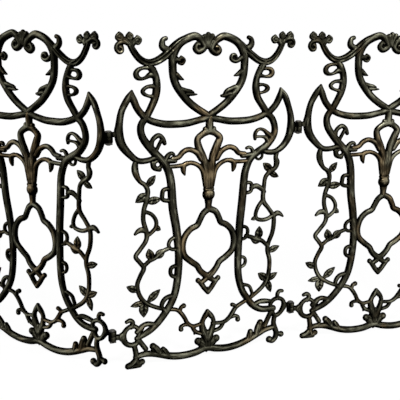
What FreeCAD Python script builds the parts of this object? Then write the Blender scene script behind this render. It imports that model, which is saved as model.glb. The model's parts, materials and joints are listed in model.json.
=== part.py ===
"""Folding fire screen: three cast-iron openwork panels hung together on four pin hinges."""
import FreeCAD, Part
import os
import Sketcher

Vector = FreeCAD.Vector
doc = FreeCAD.newDocument("folding_fire_screen")

# Driving sizes, in millimetres and degrees
SIZES = {
    "panel_height": 720.0,       # floor to the top of the crest
    "hinge_pitch": 436.0,        # from one hinge axis of a panel to the other
    "scroll_width": 16.0,        # face width of the main scroll bars
    "scroll_thickness": 13.0,    # front to back through the main bars
    "vine_width": 8.0,           # face width of the vine stems
    "vine_thickness": 9.0,       # front to back through the vines
    "left_fold": 55.3,           # left panel swung back from the line of the centre panel
    "right_fold": 8.7,           # right panel swung forward from that line
    "eye_diameter": 18.0,        # hinge eye
    "eye_height": 10.0,          # each of the two eyes on a pin
    "eye_gap": 0.6,              # daylight between the two eyes on a pin
    "edge_clearance": 1.2,       # hinge eye to the bars of the panel beside it
    "neck_thickness": 10.0,     # front to back through the neck that carries an eye
    "pin_diameter": 8.0,
    "pin_clearance": 0.05,       # radial, pin in eye and nut
    "head_diameter": 14.0,       # domed pin head
    "head_height": 3.0,
    "nut_width": 13.0,           # square nut across flats
    "nut_height": 4.0,
    "end_play": 0.3,             # eyes to pin head and nut
    "pin_tail": 1.5,             # pin end standing below its nut
}

sheet = doc.addObject("Spreadsheet::Sheet", "Sizes")
for row_number, (name, value) in enumerate(SIZES.items(), start=1):
    sheet.set(f"A{row_number}", name)
    sheet.set(f"B{row_number}", str(value))
    sheet.setAlias(f"B{row_number}", name)
doc.recompute()


def size(name):
    """The sheet's present value of one size."""
    return float(sheet.get(name))


# The casting pattern is drawn on squared paper: columns run out from the panel's middle line, and
# rows up from the floor. The outermost bar, at its edge column, clears the next panel's hinge eyes.
EDGE_COLUMN = 199
EDGE_SHARE = 1.1
TOP_ROW = 720
TOP_HINGE_ROW = 513
BOTTOM_HINGE_ROW = 85
EDGE_BAR = f"{EDGE_SHARE} * Sizes.scroll_width"
EDGE = f"((Sizes.hinge_pitch - Sizes.eye_diameter - {EDGE_BAR}) / 2 - Sizes.edge_clearance)"
column = sheet.evalExpression(EDGE) / EDGE_COLUMN
row = size("panel_height") / TOP_ROW
SOLE_CUT = 0.5    # depth of iron cut off under each foot, in millimetres


def spot(across, up):
    """A point of the squared paper, on the panel's middle plane."""
    return Vector(across * column, 0, up * row)


def hinge_spot(side, hinge_row):
    """The middle of a hinge on one side of the panel."""
    return Vector(side * size("hinge_pitch") / 2, 0, hinge_row * row)


def sole_row(share):
    """The row for the middle line of a foot's bar that stands on the floor."""
    return (share * size("scroll_width") / 2 - SOLE_CUT) / row


def curve(points):
    """A smooth line through the points, or a straight one through two."""
    if len(points) == 2:
        return Part.LineSegment(*points)
    line = Part.BSplineCurve()
    line.interpolate(points)
    return line


def bar(*points, axis=0, side=1, width="scroll_width"):
    """A bar along a smooth line through (columns from the axis, row, share of the bar width)."""
    spots = [spot(axis + side * across, up) for across, up, share in points]
    line = curve(spots)
    edges = ([], [])
    for place, (across, up, share) in zip(spots, points):
        along = line.tangent(line.parameter(place))[0]
        out = Vector(-along.z, 0, along.x) * (share * size(width) / 2)
        edges[0].append(place + out)
        edges[1].append(place - out)
    caps = []
    for end, sign in ((0, -1), (-1, 1)):
        along = line.tangent(line.parameter(spots[end]))[0]
        tip = spots[end] + along * (sign * (edges[0][end] - edges[1][end]).Length / 2)
        caps.append(Part.Arc(edges[0][end], tip, edges[1][end]))
    outline = [curve(edges[0]), caps[1], curve(edges[1]), caps[0]]
    return Part.Face(Part.Wire(Part.sortEdges([edge.toShape() for edge in outline])[0]))


def vine(*points):
    """A vine stem, drawn as a thin bar."""
    return bar(*points, width="vine_width")


def leaf(base, tip, plump, axis=0, side=1):
    """A pointed leaf from base to tip, as wide as its share of that length."""
    start, end = (spot(axis + side * across, up) for across, up in (base, tip))
    along = end - start
    belly = Vector(-along.z, 0, along.x) * (plump / 2)
    middle = (start + end) * 0.5
    blades = [Part.Arc(start, middle + belly, end), Part.Arc(end, middle - belly, start)]
    return Part.Face(Part.Wire([blade.toShape() for blade in blades]))


def disc(place, radius):
    """A round flat in the panel's plane."""
    return Part.Face(Part.Wire(Part.Circle(place, Vector(0, 1, 0), radius).toShape()))


def ball(across, up, share, axis=0, side=1):
    """A round boss whose diameter is a share of the bar width."""
    return disc(spot(axis + side * across, up), share * size("scroll_width") / 2)


def ring(across, up, radius, share):
    """A round ring: radius of its middle line in columns, and band as a share of the bar width."""
    band = share * size("scroll_width") / 2
    hole = disc(spot(across, up), radius * column - band)
    return disc(spot(across, up), radius * column + band).cut(hole).Faces[0]


# The members of one panel, each a list of flat shapes that are joined


def stile_left():
    """Left upright, with its hooked curls, small eyes and outer loops."""
    return [
        bar((-140, 548, .85), (-150, 531, .9), (-146, 508, .95), (-124, 479, 1.02), (-98, 449, 1),
            (-86, 415, 1), (-81, 355, 1.08), (-72, 303, 1.05), (-66, 245, 1), (-70, 185, 1),
            (-81, 145, .95), (-106, 108, .95), (-132, 84, .9), (-163, 69, .7)),
        bar((-127, 488, .5), (-125, 502, .5), (-113, 511, .55), (-103, 505, .5), (-98, 493, .42)),
        bar((-116, 481, .4), (-110, 493, .4), (-105, 502, .4)),
        bar((-98, 464, .5), (-90, 473, .5), (-83, 475, .45), (-78, 472, .4)),
        bar((-98, 461, .6), (-82, 460, .5), (-74, 459, .45)),
        ring(-114, 452, 7, .3),
        bar((-84, 397, .35), (-103, 395, .35), (-106, 385, .35), (-104, 373, .35), (-84, 370, .35)),
        bar((-74, 290, .35), (-88, 283, .35), (-91, 272, .35), (-84, 263, .35), (-68, 262, .35)),
        bar((-68, 225, .35), (-83, 222, .35), (-87, 212, .35), (-84, 202, .35), (-70, 197, .35)),
        bar((-80, 158, .4), (-96, 154, .4), (-105, 145, .4), (-107, 133, .4), (-98, 122, .4)),
        bar((-157, 93, .45), (-148, 99, .42), (-137, 101, .42), (-118, 96, .45)),
    ]


def stile_right():
    """Right upright, like the left one but ending higher, beside the upper eye."""
    return [
        bar((138, 546, .85), (152, 533, .88), (159, 512, .9), (155, 494, .95), (138, 474, 1),
            (118, 462, 1), (101, 449, 1), (91, 427, 1), (87, 405, 1), (83.5, 355, 1.08),
            (79, 303, 1.05), (77, 245, 1), (77, 205, 1), (80, 175, 1), (89, 145, .95),
            (102, 124, .95), (118, 104, .95), (140, 91, .9), (173, 88, .7)),
        bar((113, 492, .42), (109, 504, .5), (119, 512, .55), (134, 508, .5), (150, 498, .5)),
        bar((141, 486, .4), (132, 496, .4), (126, 507, .4)),
        bar((108, 460, .5), (104, 472, .5), (97, 476, .45), (91, 475, .4)),
        bar((106, 460, .6), (90, 461, .5), (80, 460, .45)),
        ring(122, 454, 7, .3),
        bar((86, 396, .35), (104, 394, .35), (107, 385, .35), (103, 374, .35), (84, 372, .35)),
        bar((79, 298, .35), (95, 293, .35), (99, 282, .35), (93, 269, .35), (78, 266, .35)),
        bar((77, 227, .35), (92, 223, .35), (96, 214, .35), (91, 204, .35), (77, 200, .35)),
        bar((86, 160, .38), (106, 153, .38), (112, 142, .38), (115, 130, .38), (104, 120, .38)),
        bar((118, 104, .4), (134, 111, .42), (147, 110, .42), (162.5, 107, .4)),
    ]


def swag():
    """Pair of sagging bars from the heart's point out to the uprights."""
    half = [(20, 539, .85), (48, 533.5, .9), (75, 532.5, .92), (100, 534, .9), (123, 540, .85),
            (140, 548, .8)]
    left = [(-across, up, share) for across, up, share in reversed(half)]
    return [bar(*left, (1, 543, .95), *half)]


def heart_scroll(side):
    """One C-scroll of the heart, with its volute, inner curl, thorns and hooked bud."""
    return [
        bar((15, 699, .75), (33, 709, .95), (64, 697, 1), (79, 674, 1.05), (81, 650, 1.02),
            (78, 625, 1), (68.5, 605, .98), (48, 580, .96), (27, 563, .94), (1, 547, .92), side=side),
        ball(20, 690, 1.8, side=side),
        bar((76, 667, .6), (64, 659, .5), (55, 661, .45), side=side),
        ball(57, 664, .95, side=side),
        leaf((76, 636), (57, 623), .38, side=side),
        leaf((61, 605), (27, 591), .36, side=side),
        bar((80, 685, .6), (99, 689, .6), (103, 698, .5), (98, 707, .42), (91, 708, .4), side=side),
        ball(92, 707, .55, side=side),
    ]


def heart_left():
    """Left half of the heart, with the bud that stands between the two volutes."""
    bud = [leaf((0, 676), (0, TOP_ROW), .5), ball(-9, 711, .6), ball(9, 711, .6)]
    return heart_scroll(-1) + bud


def horn(side):
    """U-shaped arm that leaves the heart and ends in four balls, with bosses that fill between them."""
    return [
        bar((84, 683, .7), (100, 674, .8), (115, 665, .8), (130, 661, .82), (143, 663.5, .82),
            (155, 672, .8), (165, 685, .78), (171, 696, .7), side=side),
        bar((169, 692, .6), (181, 702, .6), (190, 709, .5), side=side),
        bar((168, 691, .6), (180, 698, .55), (192, 694, .5), side=side),
        bar((168, 692, .6), (154, 702, .55), side=side),
        bar((169, 693, .6), (171.5, 709, .6), side=side),
        ball(190.5, 710.5, 1.18, side=side),
        ball(171.5, 710, 1.1, side=side),
        ball(183, 701.5, 1.4, side=side),
        ball(163, 700, 1.1, side=side),
        ball(153.5, 703, 1.18, side=side),
        ball(192.5, 690.5, 1.36, side=side),
    ]


def crescent_left():
    """Left S-shaped neck with its two pointed loops, and the crescent that carries the upper hinge eye."""
    return [
        bar((-131, 653, .8), (-122, 640, .95), (-116, 624, .9), (-115.5, 606, 1), (-119, 588, .95),
            (-126.5, 571, .9), (-134.5, 556, .88), (-140, 547, .85)),
        bar((-122, 645, .5), (-140, 647.5, .5), (-152, 643, .55), (-158, 635.5, .62), (-152, 629, .56),
            (-140, 627.5, .52), (-128, 630, .52), (-117, 633, .5)),
        bar((-117, 612, .5), (-130, 611, .48), (-140, 608, .5), (-145, 602.5, .56), (-140, 597, .52),
            (-131, 594, .5), (-118, 594, .5)),
        bar((-168, 604, .2), (-177, 588, .8), (-189.5, 565, .8), (-194.5, 540, .88), (-195.5, 515, 1.1),
            (-190, 495, 1.05), (-175, 476, .88), (-158, 462, .75), (-140, 460, .7), (-118, 465, .65)),
        bar((-168, 603, .25), (-165, 587, .85), (-157, 568, .85), (-146, 554, .85), (-138, 546, .82)),
    ]


def crescent_right():
    """Right neck with its two loops, and the crescent that carries the lower eye of the upper pin."""
    return [
        bar((129, 655, .8), (121, 643, .9), (112, 625, .82), (109.5, 610, .95), (110, 598, 1.02),
            (114, 582, .95), (123, 568, .9), (131, 557, .9), (138, 547, .85)),
        bar((118, 646, .5), (132, 646, .5), (144, 643.5, .54), (148.5, 636.5, .62), (144, 629.5, .56),
            (134, 628, .52), (126, 629.5, .5), (116, 632, .5)),
        bar((110, 608, .5), (122, 609, .48), (132, 606.5, .5), (138, 600.5, .56), (132, 594, .5),
            (122, 592, .5), (113, 592.5, .5)),
        bar((170, 599, .2), (182, 581, .8), (192.5, 556, .78), (197.5, 535, .88), (199, 511, 1.1),
            (194, 491, 1.02), (182, 473, .88), (164, 461, .75), (145, 460, .7), (126, 466, .65)),
        bar((170, 598, .25), (169, 583, .85), (160, 565, .85), (149, 553, .85), (138, 544, .82)),
    ]


def spray():
    """Palmette on a fluted stem, with arching leaves tied to the uprights."""
    axis = 2.5
    limbs = {
        -1: [(0, 516, 1.1), (15, 509, .85), (27, 498, .85), (24, 480, 1), (16, 463, 1), (9, 445, 1)],
        1: [(0, 516, 1.1), (14, 509, .8), (24.5, 498, .8), (20, 480, .95), (11.5, 463, 1), (7, 445, 1)],
    }
    shapes = [
        bar((0, 543, 1), (0, 515, 1.05), axis=axis),
        bar((-10, 519, .6), (10, 519, .6), axis=axis),
        bar((0, 436, 1.6), (0, 424, 2), (0, 408, 1.75), (0, 390, 1.5), (0, 366, 1.15), (0, 355, .9),
            (0, 346, .9), axis=axis),
        ball(0, 380, 1.85, axis=axis),
        ball(0, 372, 1.7, axis=axis),
    ]
    for side, limb in limbs.items():
        shapes += [
            bar(*limb, axis=axis, side=side),
            bar((18, 455, .75), (29, 470, .7), (46, 477.5, .65), (60, 473, .68), (70, 463, .62),
                (84, 460, .6), axis=axis, side=side),
            bar((14, 431, .65), (26, 443, .58), (42, 449, .55), (56, 445.5, .54), (74, 444, .5),
                (96, 444, .52), axis=axis, side=side),
            leaf((60, 448), (55, 421), .42, axis=axis, side=side),
        ]
    return shapes


def quatrefoil():
    """Four-lobed ring between the uprights, with the pierced pendant below it."""
    axis = 4
    lobes = {
        -1: [(0, 345, .85), (13, 336, .8), (22, 320, .78), (28, 310, .8), (43, 303, .82), (56, 288, .84),
             (62, 266, .92), (57, 245, .84), (42, 230, .82), (27, 218, .8), (20, 206, .8), (10, 196, .85),
             (0, 190, .95)],
        1: [(0, 345, .85), (14, 336, .8), (22, 321, .78), (28, 311, .8), (43, 304, .82), (56, 289, .84),
            (62, 266, .92), (57, 245, .84), (42, 231, .82), (27, 221, .8), (20, 209, .8), (10, 197, .85),
            (0, 190, .95)],
    }
    shapes = [leaf((0, 166), (0, 146.5), .8, axis=axis)]
    for side, lobe in lobes.items():
        shapes += [
            bar(*lobe, axis=axis, side=side),
            bar((0, 191, .95), (9, 182, .72), (17, 177, .6), axis=axis, side=side),
            bar((24, 184, .55), (16, 174, .58), (8.5, 163, .58), (0, 152, .52), axis=axis, side=side),
            ball(24, 183, .7, axis=axis, side=side),
        ]
    return shapes


def corner_left():
    """Left ring that carries the lower hinge eye, its strut, and the foot below it."""
    return [
        ring(-179, 76, 20, .62),
        bar((-176, 97, .6), (-172, 108, .55), (-178, 115, .5), (-187, 112, .4)),
        bar((-172, 57, .7), (-169, 42, .75), (-167, 28, .8), (-165, 10, .9)),
        bar((-184, sole_row(1), 1), (-170, sole_row(.8), .8), (-157, sole_row(.95), .95)),
        bar((-161, 66, .65), (-152, 52, .65), (-143, 39.5, .65)),
    ]


def corner_right():
    """Right ring that carries the upper eye of the lower pin, its strut, and the hooked foot."""
    return [
        ring(183, 89, 20, .62),
        bar((183, 111, .5), (182, 122, .5), (187, 130, .45), (195, 128, .4)),
        bar((178, 69, .7), (175, 50, .75), (178, 38, .85), (183, 26, .8), (181.5, 13, .8),
            (172, sole_row(.8), .8), (162, 9, .75)),
        ball(162, 10, 1),
        bar((183, 24, .5), (195, 19, .5)),
        ball(195, 19, .85),
        bar((166, 82, .7), (159, 67, .7), (150, 47, .7)),
    ]


def base_rail():
    """Sagging bottom rail with its leaves, the pierced fleuron and the two budding branches."""
    axis = 2
    shapes = [
        bar((-166, 26, .75), (-148, 30, .7), (-128, 28, .8), (-108, 22.5, .88), (-88, 15.5, .9),
            (-68, 11.5, .9), (-48, 10.5, .92), (-25, 12.5, .92), (axis, 19, .95), (25, 13.5, .92),
            (46, 10.5, .92), (66, 10.5, .92), (90, 14.5, .9), (112, 22, .88), (134, 31, .85),
            (152, 37.5, .75), (174, 41, .7)),
        leaf((-117, 24), (-131, 54), .55),
        leaf((-91, 17), (-103, 38), .5),
        leaf((130, 27), (131, 66), .5),
        leaf((107, 17), (110, 44), .5),
        leaf((axis, 32), (axis, 6), .6),
        bar((-90, 126, .5), (-72, 122, .45), (-61, 113, .5), (-52, 100, .5), (-44, 85, .5), (-32, 74, .5),
            (-14, 65, .5)),
        bar((-63, 116, .45), (-60, 126, .42), (-54, 129, .4)),
        ball(-54, 129, .62),
        bar((-42, 82, .45), (-52, 83, .42), (-61, 79, .4), (-61, 73, .4)),
        ball(-60, 73, .62),
        bar((-29, 72, .4), (-25, 60, .45), (-12, 55, .4)),
        bar((104, 121, .5), (86, 112, .45), (74, 105, .55), (65, 92, .6), (56, 81, .55), (42, 71, .5),
            (18, 62, .5)),
        bar((75, 105, .45), (68, 113, .42), (62, 114, .4)),
        ball(63, 113.5, .56),
        bar((58, 83, .5), (72, 85, .45), (81, 80, .42), (80, 74, .4)),
        ball(80, 75, .66),
        bar((34, 70, .4), (33, 59, .4), (18, 55, .4)),
    ]
    for side in (-1, 1):
        shapes += [
            bar((0, 108, .3), (9, 91, .62), (15, 71, .72), (11, 50, .85), (0, 26, 1.1), axis=axis, side=side),
            bar((2, 30, .8), (14, 34, .75), (24, 39, .7), axis=axis, side=side),
            ball(24, 39, 1.2, axis=axis, side=side),
        ]
    return shapes


def vine_left():
    """Left vine from the crescent down to the upright, with its leaves and side shoots."""
    return [
        vine((-164, 462, 1.5), (-166, 440, 1.4), (-158, 422, 1.15), (-142, 409, 1.1), (-136, 396, 1.2),
             (-139, 375, 1.2), (-145, 355, 1.1), (-146, 332, 1.1), (-139, 305, 1.2), (-141, 288, 1.1),
             (-154, 270, 1.05), (-164, 256, 1.05), (-155, 242, 1.05), (-146, 228, 1.2), (-154, 211, 1.1),
             (-161, 192, 1.1), (-157, 170, 1.1), (-145, 151, 1.1), (-125, 138, 1), (-107, 130, 1)),
        leaf((-139, 404), (-118, 429), .45),
        leaf((-136, 391), (-164, 373), .55),
        leaf((-141, 372), (-104, 377), .42),
        vine((-145, 353, .9), (-128, 345, .9), (-118, 330, .9), (-119, 315, .9), (-130, 304, .9),
             (-139, 299, .9)),
        leaf((-122, 318), (-108, 309), .5),
        vine((-140, 310, .9), (-152, 313, .9), (-164, 306, .6)),
        vine((-147, 231, 1), (-134, 242, 1), (-120, 248, 1), (-104, 260, 1), (-88, 266, 1)),
        leaf((-128, 243), (-134, 271), .55),
        leaf((-121, 246), (-97, 266), .45),
        leaf((-158, 177), (-186, 192), .48),
        leaf((-140, 148), (-108, 176), .36),
        leaf((-145, 151), (-178, 147), .36),
        leaf((-147, 152), (-147, 116), .45),
    ]


def vine_right():
    """Right vine from the crescent down to the upright, with its leaves and side shoots."""
    return [
        vine((166, 463, 1.4), (162, 447, 1.3), (166, 436, 1.9), (163, 424, 1.3), (150, 415, 1.2),
             (140, 404, 1.05), (137, 385, 1.05), (136, 352, 1.25), (150, 332, 1.05), (163, 313, 1.15),
             (165, 295, 1.2), (162, 273, 1.15), (153, 250, 1.1), (151, 233, 1.15), (157, 210, 1.15),
             (157, 185, 1.15), (152, 162, 1.2), (138, 143, 1.1), (113, 125, 1)),
        leaf((157, 416), (132, 437), .45),
        leaf((148, 414), (174, 402), .45),
        vine((136, 353, 1.1), (124, 338, 1), (118, 321, 1), (122, 310, 1), (136, 306, 1), (150, 308, 1),
             (163, 315, 1)),
        leaf((122, 314), (106, 309), .5),
        vine((162, 311, 1), (174, 318, 1), (186, 310, .6)),
        vine((138, 371, 1), (127, 382, 1), (115, 386, 1), (105, 382, 1)),
        vine((151, 243, 1), (136, 257, 1.1), (122, 262, 1.3), (108, 269, 1.1), (95, 273, 1)),
        leaf((127, 259), (128, 292), .45),
        leaf((134, 256), (106, 268), .45),
        leaf((150, 229), (183, 240), .4),
        leaf((155, 160), (128, 182), .5),
        leaf((150, 160), (180, 175), .4),
        leaf((151, 164), (164, 128), .38),
    ]


# Each member is trimmed by those before it, so that neighbours meet face to face
MEMBERS = {
    "stile_left": stile_left(),
    "stile_right": stile_right(),
    "swag": swag(),
    "heart_left": heart_left(),
    "heart_right": heart_scroll(1),
    "horn_left": horn(-1),
    "horn_right": horn(1),
    "crescent_left": crescent_left(),
    "crescent_right": crescent_right(),
    "corner_left": corner_left(),
    "corner_right": corner_right(),
    "base_rail": base_rail(),
    "quatrefoil": quatrefoil(),
    "spray": spray(),
    "vine_left": vine_left(),
    "vine_right": vine_right(),
}


def below_floor():
    """The part of the panel's plane under the floor, which trims the soles of the feet flat."""
    out = size("hinge_pitch")
    down = -size("scroll_width")
    corners = [Vector(-out, 0, 0), Vector(out, 0, 0), Vector(out, 0, down), Vector(-out, 0, down)]
    return Part.Face(Part.makePolygon(corners, True))


def near(shape, others):
    """Those of the other shapes whose boxes meet this one's."""
    return [other for other in others if other.BoundBox.intersect(shape.BoundBox)]


def joined_face(shapes):
    """The shapes as one face, bordered by the edges that only one piece of their overlaps has."""
    owners = {}
    for piece in shapes[0].multiFuse(shapes[1:]).Faces:
        for edge in piece.Edges:
            owners.setdefault(edge.hashCode(), []).append(edge)
    border = [edges[0] for edges in owners.values() if len(edges) == 1]
    wires = [Part.Wire(chain) for chain in Part.sortEdges(border)]
    return Part.makeFace(wires, "Part::FaceMakerBullseye")


def outline_of(name, shapes, earlier):
    """One member's flat outline as a document object: its shapes joined, less its neighbours."""
    joined = joined_face(shapes) if len(shapes) > 1 else shapes[0]
    trimmers = near(joined, [below_floor(), *earlier])
    trimmed = joined.cut(trimmers) if trimmers else joined
    outline = doc.addObject("Part::Feature", f"outline_{name}")
    outline.Shape = max(trimmed.Faces, key=lambda face: face.Area)
    return outline


def cast(outline, label):
    """A member cast to its thickness, half in front of the panel's middle plane and half behind."""
    casting = doc.addObject("Part::Extrusion", label)
    casting.Base = outline
    casting.DirMode = "Custom"
    casting.Dir = Vector(0, 1, 0)
    casting.Solid = True
    casting.Symmetric = True
    thickness = "vine_thickness" if "vine" in label else "scroll_thickness"
    casting.setExpression("LengthFwd", f"Sizes.{thickness}")
    return casting


outlines = {}
for name, shapes in MEMBERS.items():
    outlines[name] = outline_of(name, shapes, [outline.Shape for outline in outlines.values()])


# Hinge eyes, pins and nuts are drawn about the origin and then put on their hinge axis


def new_sketch(body, name, lift):
    """An empty sketch level with the body's XY plane, lifted by an expression."""
    sketch = body.newObject("Sketcher::SketchObject", name)
    level = next(plane for plane in body.Origin.OriginFeatures if plane.Role == "XY_Plane")
    sketch.AttachmentSupport = [(level, "")]
    sketch.MapMode = "FlatFace"
    sketch.setExpression("AttachmentOffset.Base.z", lift)
    return sketch


def add_circle(sketch, diameter):
    """A circle about the sketch's origin, its diameter bound to an expression."""
    circle = sketch.addGeometry(Part.Circle(Vector(), Vector(0, 0, 1), 1))
    sketch.addConstraint(Sketcher.Constraint("Coincident", circle, 3, -1, 1))
    across = sketch.addConstraint(Sketcher.Constraint("Diameter", circle, 2))
    sketch.setExpression(f"Constraints[{across}]", diameter)


def add_rectangle(sketch, start, end, breadth):
    """A rectangle along X from start to end, half its breadth on each side of the X axis."""
    corners = [Vector(1, -1, 0), Vector(2, -1, 0), Vector(2, 1, 0), Vector(1, 1, 0)]
    lines = [sketch.addGeometry(Part.LineSegment(corners[i], corners[(i + 1) % 4])) for i in range(4)]
    bottom, right, top, left = lines
    for line, following in zip(lines, lines[1:] + lines[:1]):
        sketch.addConstraint(Sketcher.Constraint("Coincident", line, 2, following, 1))
    for line in (bottom, top):
        sketch.addConstraint(Sketcher.Constraint("Horizontal", line))
    sketch.addConstraint(Sketcher.Constraint("Vertical", right))
    sketch.addConstraint(Sketcher.Constraint("Symmetric", left, 1, left, 2, -1))
    for kind, line, expression in (("DistanceX", bottom, start), ("DistanceX", right, end)):
        reach = sketch.addConstraint(Sketcher.Constraint(kind, -1, 1, line, 1, 1.5))
        sketch.setExpression(f"Constraints[{reach}]", expression)
    height = sketch.addConstraint(Sketcher.Constraint("Distance", left, 2))
    sketch.setExpression(f"Constraints[{height}]", breadth)


def add_pad(body, name, sketch, length):
    """A pad upwards from the sketch, its length bound to an expression."""
    pad = body.newObject("PartDesign::Pad", name)
    pad.Profile = sketch
    pad.setExpression("Length", length)
    return pad


BORE = "Sizes.pin_diameter + 2 * Sizes.pin_clearance"


def hinge_eye(label, bar_column):
    """A bored eye on a flat neck that reaches to the middle of the bar that carries it."""
    body = doc.addObject("PartDesign::Body", label)
    eye = new_sketch(body, f"{label}_round", "0")
    add_circle(eye, "Sizes.eye_diameter")
    add_circle(eye, BORE)
    add_pad(body, f"{label}_round_pad", eye, "Sizes.eye_height")
    neck = new_sketch(body, f"{label}_neck", "0")
    inside_eye = f"({BORE} + Sizes.eye_diameter) / 4"
    neck_end = f"Sizes.hinge_pitch / 2 - {EDGE} * {bar_column / EDGE_COLUMN}"
    add_rectangle(neck, inside_eye, neck_end, "Sizes.neck_thickness")
    add_pad(body, f"{label}_neck_pad", neck, "Sizes.eye_height")
    return body


# Half the stack of two eyes on a pin, from the hinge's middle height to the pin head or the nut
HALF_STACK = "(Sizes.eye_gap / 2 + Sizes.eye_height + Sizes.end_play)"


def hinge_pin(label):
    """A pin with a domed head above the eyes and a tail below the nut."""
    body = doc.addObject("PartDesign::Body", label)
    shank = new_sketch(body, f"{label}_shank", f"-{HALF_STACK} - Sizes.nut_height - Sizes.pin_tail")
    add_circle(shank, "Sizes.pin_diameter")
    add_pad(body, f"{label}_shank_pad", shank, f"2 * {HALF_STACK} + Sizes.nut_height + Sizes.pin_tail")
    head = new_sketch(body, f"{label}_head", HALF_STACK)
    add_circle(head, "Sizes.head_diameter")
    head_pad = add_pad(body, f"{label}_head_pad", head, "Sizes.head_height")
    doc.recompute()
    crown = max(enumerate(head_pad.Shape.Edges, start=1), key=lambda item: item[1].CenterOfMass.z)[0]
    dome = body.newObject("PartDesign::Fillet", f"{label}_dome")
    dome.Base = (head_pad, [f"Edge{crown}"])
    dome.setExpression("Radius", "Sizes.head_height * 0.8")
    return body


def hinge_nut(label):
    """A square nut under the eyes."""
    body = doc.addObject("PartDesign::Body", label)
    square = new_sketch(body, f"{label}_square", f"-{HALF_STACK} - Sizes.nut_height")
    add_rectangle(square, "-Sizes.nut_width / 2", "Sizes.nut_width / 2", "Sizes.nut_width")
    add_circle(square, BORE)
    add_pad(body, f"{label}_square_pad", square, "Sizes.nut_height")
    return body


# Where the three panels stand: each side panel turns about the hinge axis that it shares
UPRIGHT = Vector(0, 0, 1)
half_pitch = Vector(size("hinge_pitch") / 2, 0, 0)
UNTURNED = FreeCAD.Rotation()
PANELS = {
    "left": FreeCAD.Placement(-half_pitch, FreeCAD.Rotation(UPRIGHT, -size("left_fold")))
    * FreeCAD.Placement(-half_pitch, UNTURNED),
    "centre": FreeCAD.Placement(),
    "right": FreeCAD.Placement(half_pitch, FreeCAD.Rotation(UPRIGHT, -size("right_fold")))
    * FreeCAD.Placement(half_pitch, UNTURNED),
}

# Each eye: the side of the panel, its hinge row, above or below the other eye, the member that
# carries it, the column of the bar where its neck ends, and the panels that have it
EYES = {
    "upper_left_eye": (-1, TOP_HINGE_ROW, 1, "crescent_left", 196, ("centre", "right")),
    "upper_right_eye": (1, TOP_HINGE_ROW, -1, "crescent_right", 199, ("left", "centre")),
    "lower_left_eye": (-1, BOTTOM_HINGE_ROW, -1, "corner_left", 198.5, ("centre", "right")),
    "lower_right_eye": (1, BOTTOM_HINGE_ROW, 1, "corner_right", 202.5, ("left", "centre")),
}

nodes = {}
for panel, placement in PANELS.items():
    for name, outline in outlines.items():
        nodes[f"{panel}_{name}"] = (cast(outline, f"{panel}_{name}"), placement)

for name, (side, hinge_row, above, carrier, bar_column, panels) in EYES.items():
    eye = hinge_eye(f"blank_{name}", bar_column)
    foot = size("eye_gap") / 2 if above > 0 else -size("eye_gap") / 2 - size("eye_height")
    facing = FreeCAD.Rotation(UPRIGHT, 0 if side < 0 else 180)
    eye.Placement = FreeCAD.Placement(hinge_spot(side, hinge_row) + UPRIGHT * foot, facing)
    bar_beside = cast(outlines[carrier], f"seat_{name}")
    for panel in panels:
        node = doc.addObject("Part::Cut", f"{panel}_{name}")
        node.Base = eye
        node.Tool = bar_beside
        nodes[f"{panel}_{name}"] = (node, PANELS[panel])

for side, hinge in ((-1, "left"), (1, "right")):
    for fastener, make in (("pins", hinge_pin), ("nuts", hinge_nut)):
        pair = []
        for hinge_row, level in ((TOP_HINGE_ROW, "top"), (BOTTOM_HINGE_ROW, "bottom")):
            single = make(f"{hinge}_{level}_hinge_{fastener[:-1]}")
            single.Placement = FreeCAD.Placement(hinge_spot(side, hinge_row), UNTURNED)
            pair.append(single)
        group = doc.addObject("Part::Compound", f"{hinge}_hinge_{fastener}")
        group.Links = pair
        nodes[f"{hinge}_hinge_{fastener}"] = (group, PANELS["centre"])

# The origin is on the floor, under the middle of the standing screen
for node, placement in nodes.values():
    node.Placement = placement
doc.recompute()
box = FreeCAD.BoundBox()
for node, placement in nodes.values():
    box.add(node.Shape.optimalBoundingBox(False))
to_origin = FreeCAD.Placement(Vector(-box.Center.x, -box.Center.y, 0), UNTURNED)
for node, placement in nodes.values():
    node.Placement = to_origin * placement
doc.recompute()

# Nothing is written unless every object and every node is sound
for thing in doc.Objects:
    if "Invalid" in thing.State or "Error" in thing.State:
        raise RuntimeError(f"{thing.Label} did not build: {thing.State}")
for label, (node, placement) in nodes.items():
    if node.Shape.isNull() or not node.Shape.isValid():
        raise RuntimeError(f"{label} has no sound shape")

os.makedirs("parts", exist_ok=True)
for label, (node, placement) in nodes.items():
    node.Label = label
    node.Shape.exportStep(os.path.join("parts", f"{label}.step"))
print(f"{len(nodes)} nodes, screen {box.XLength:.1f} x {box.YLength:.1f} x {box.ZLength:.1f} mm")
for side, hinge in ((-1, "left"), (1, "right")):
    axis = to_origin.multVec(half_pitch * side)
    print(f"{hinge} hinge axis at x {axis.x:.3f}, y {axis.y:.3f}")
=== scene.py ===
# %% [markdown]
# # A folding fire screen in cast iron
# Three openwork panels of scrolls, vines and leaves stand on the floor and fold on pin hinges.
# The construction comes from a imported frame, which says how tall the screen is and where its hinges
# are. This lesson gives the screen its looks: rounded cast scrolls, veined leaves and a finish of
# black iron with bronze wiped over its front.

# %% Load the frame
import json
import math

import bmesh
import bpy
from mathutils import Matrix, Vector


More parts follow.
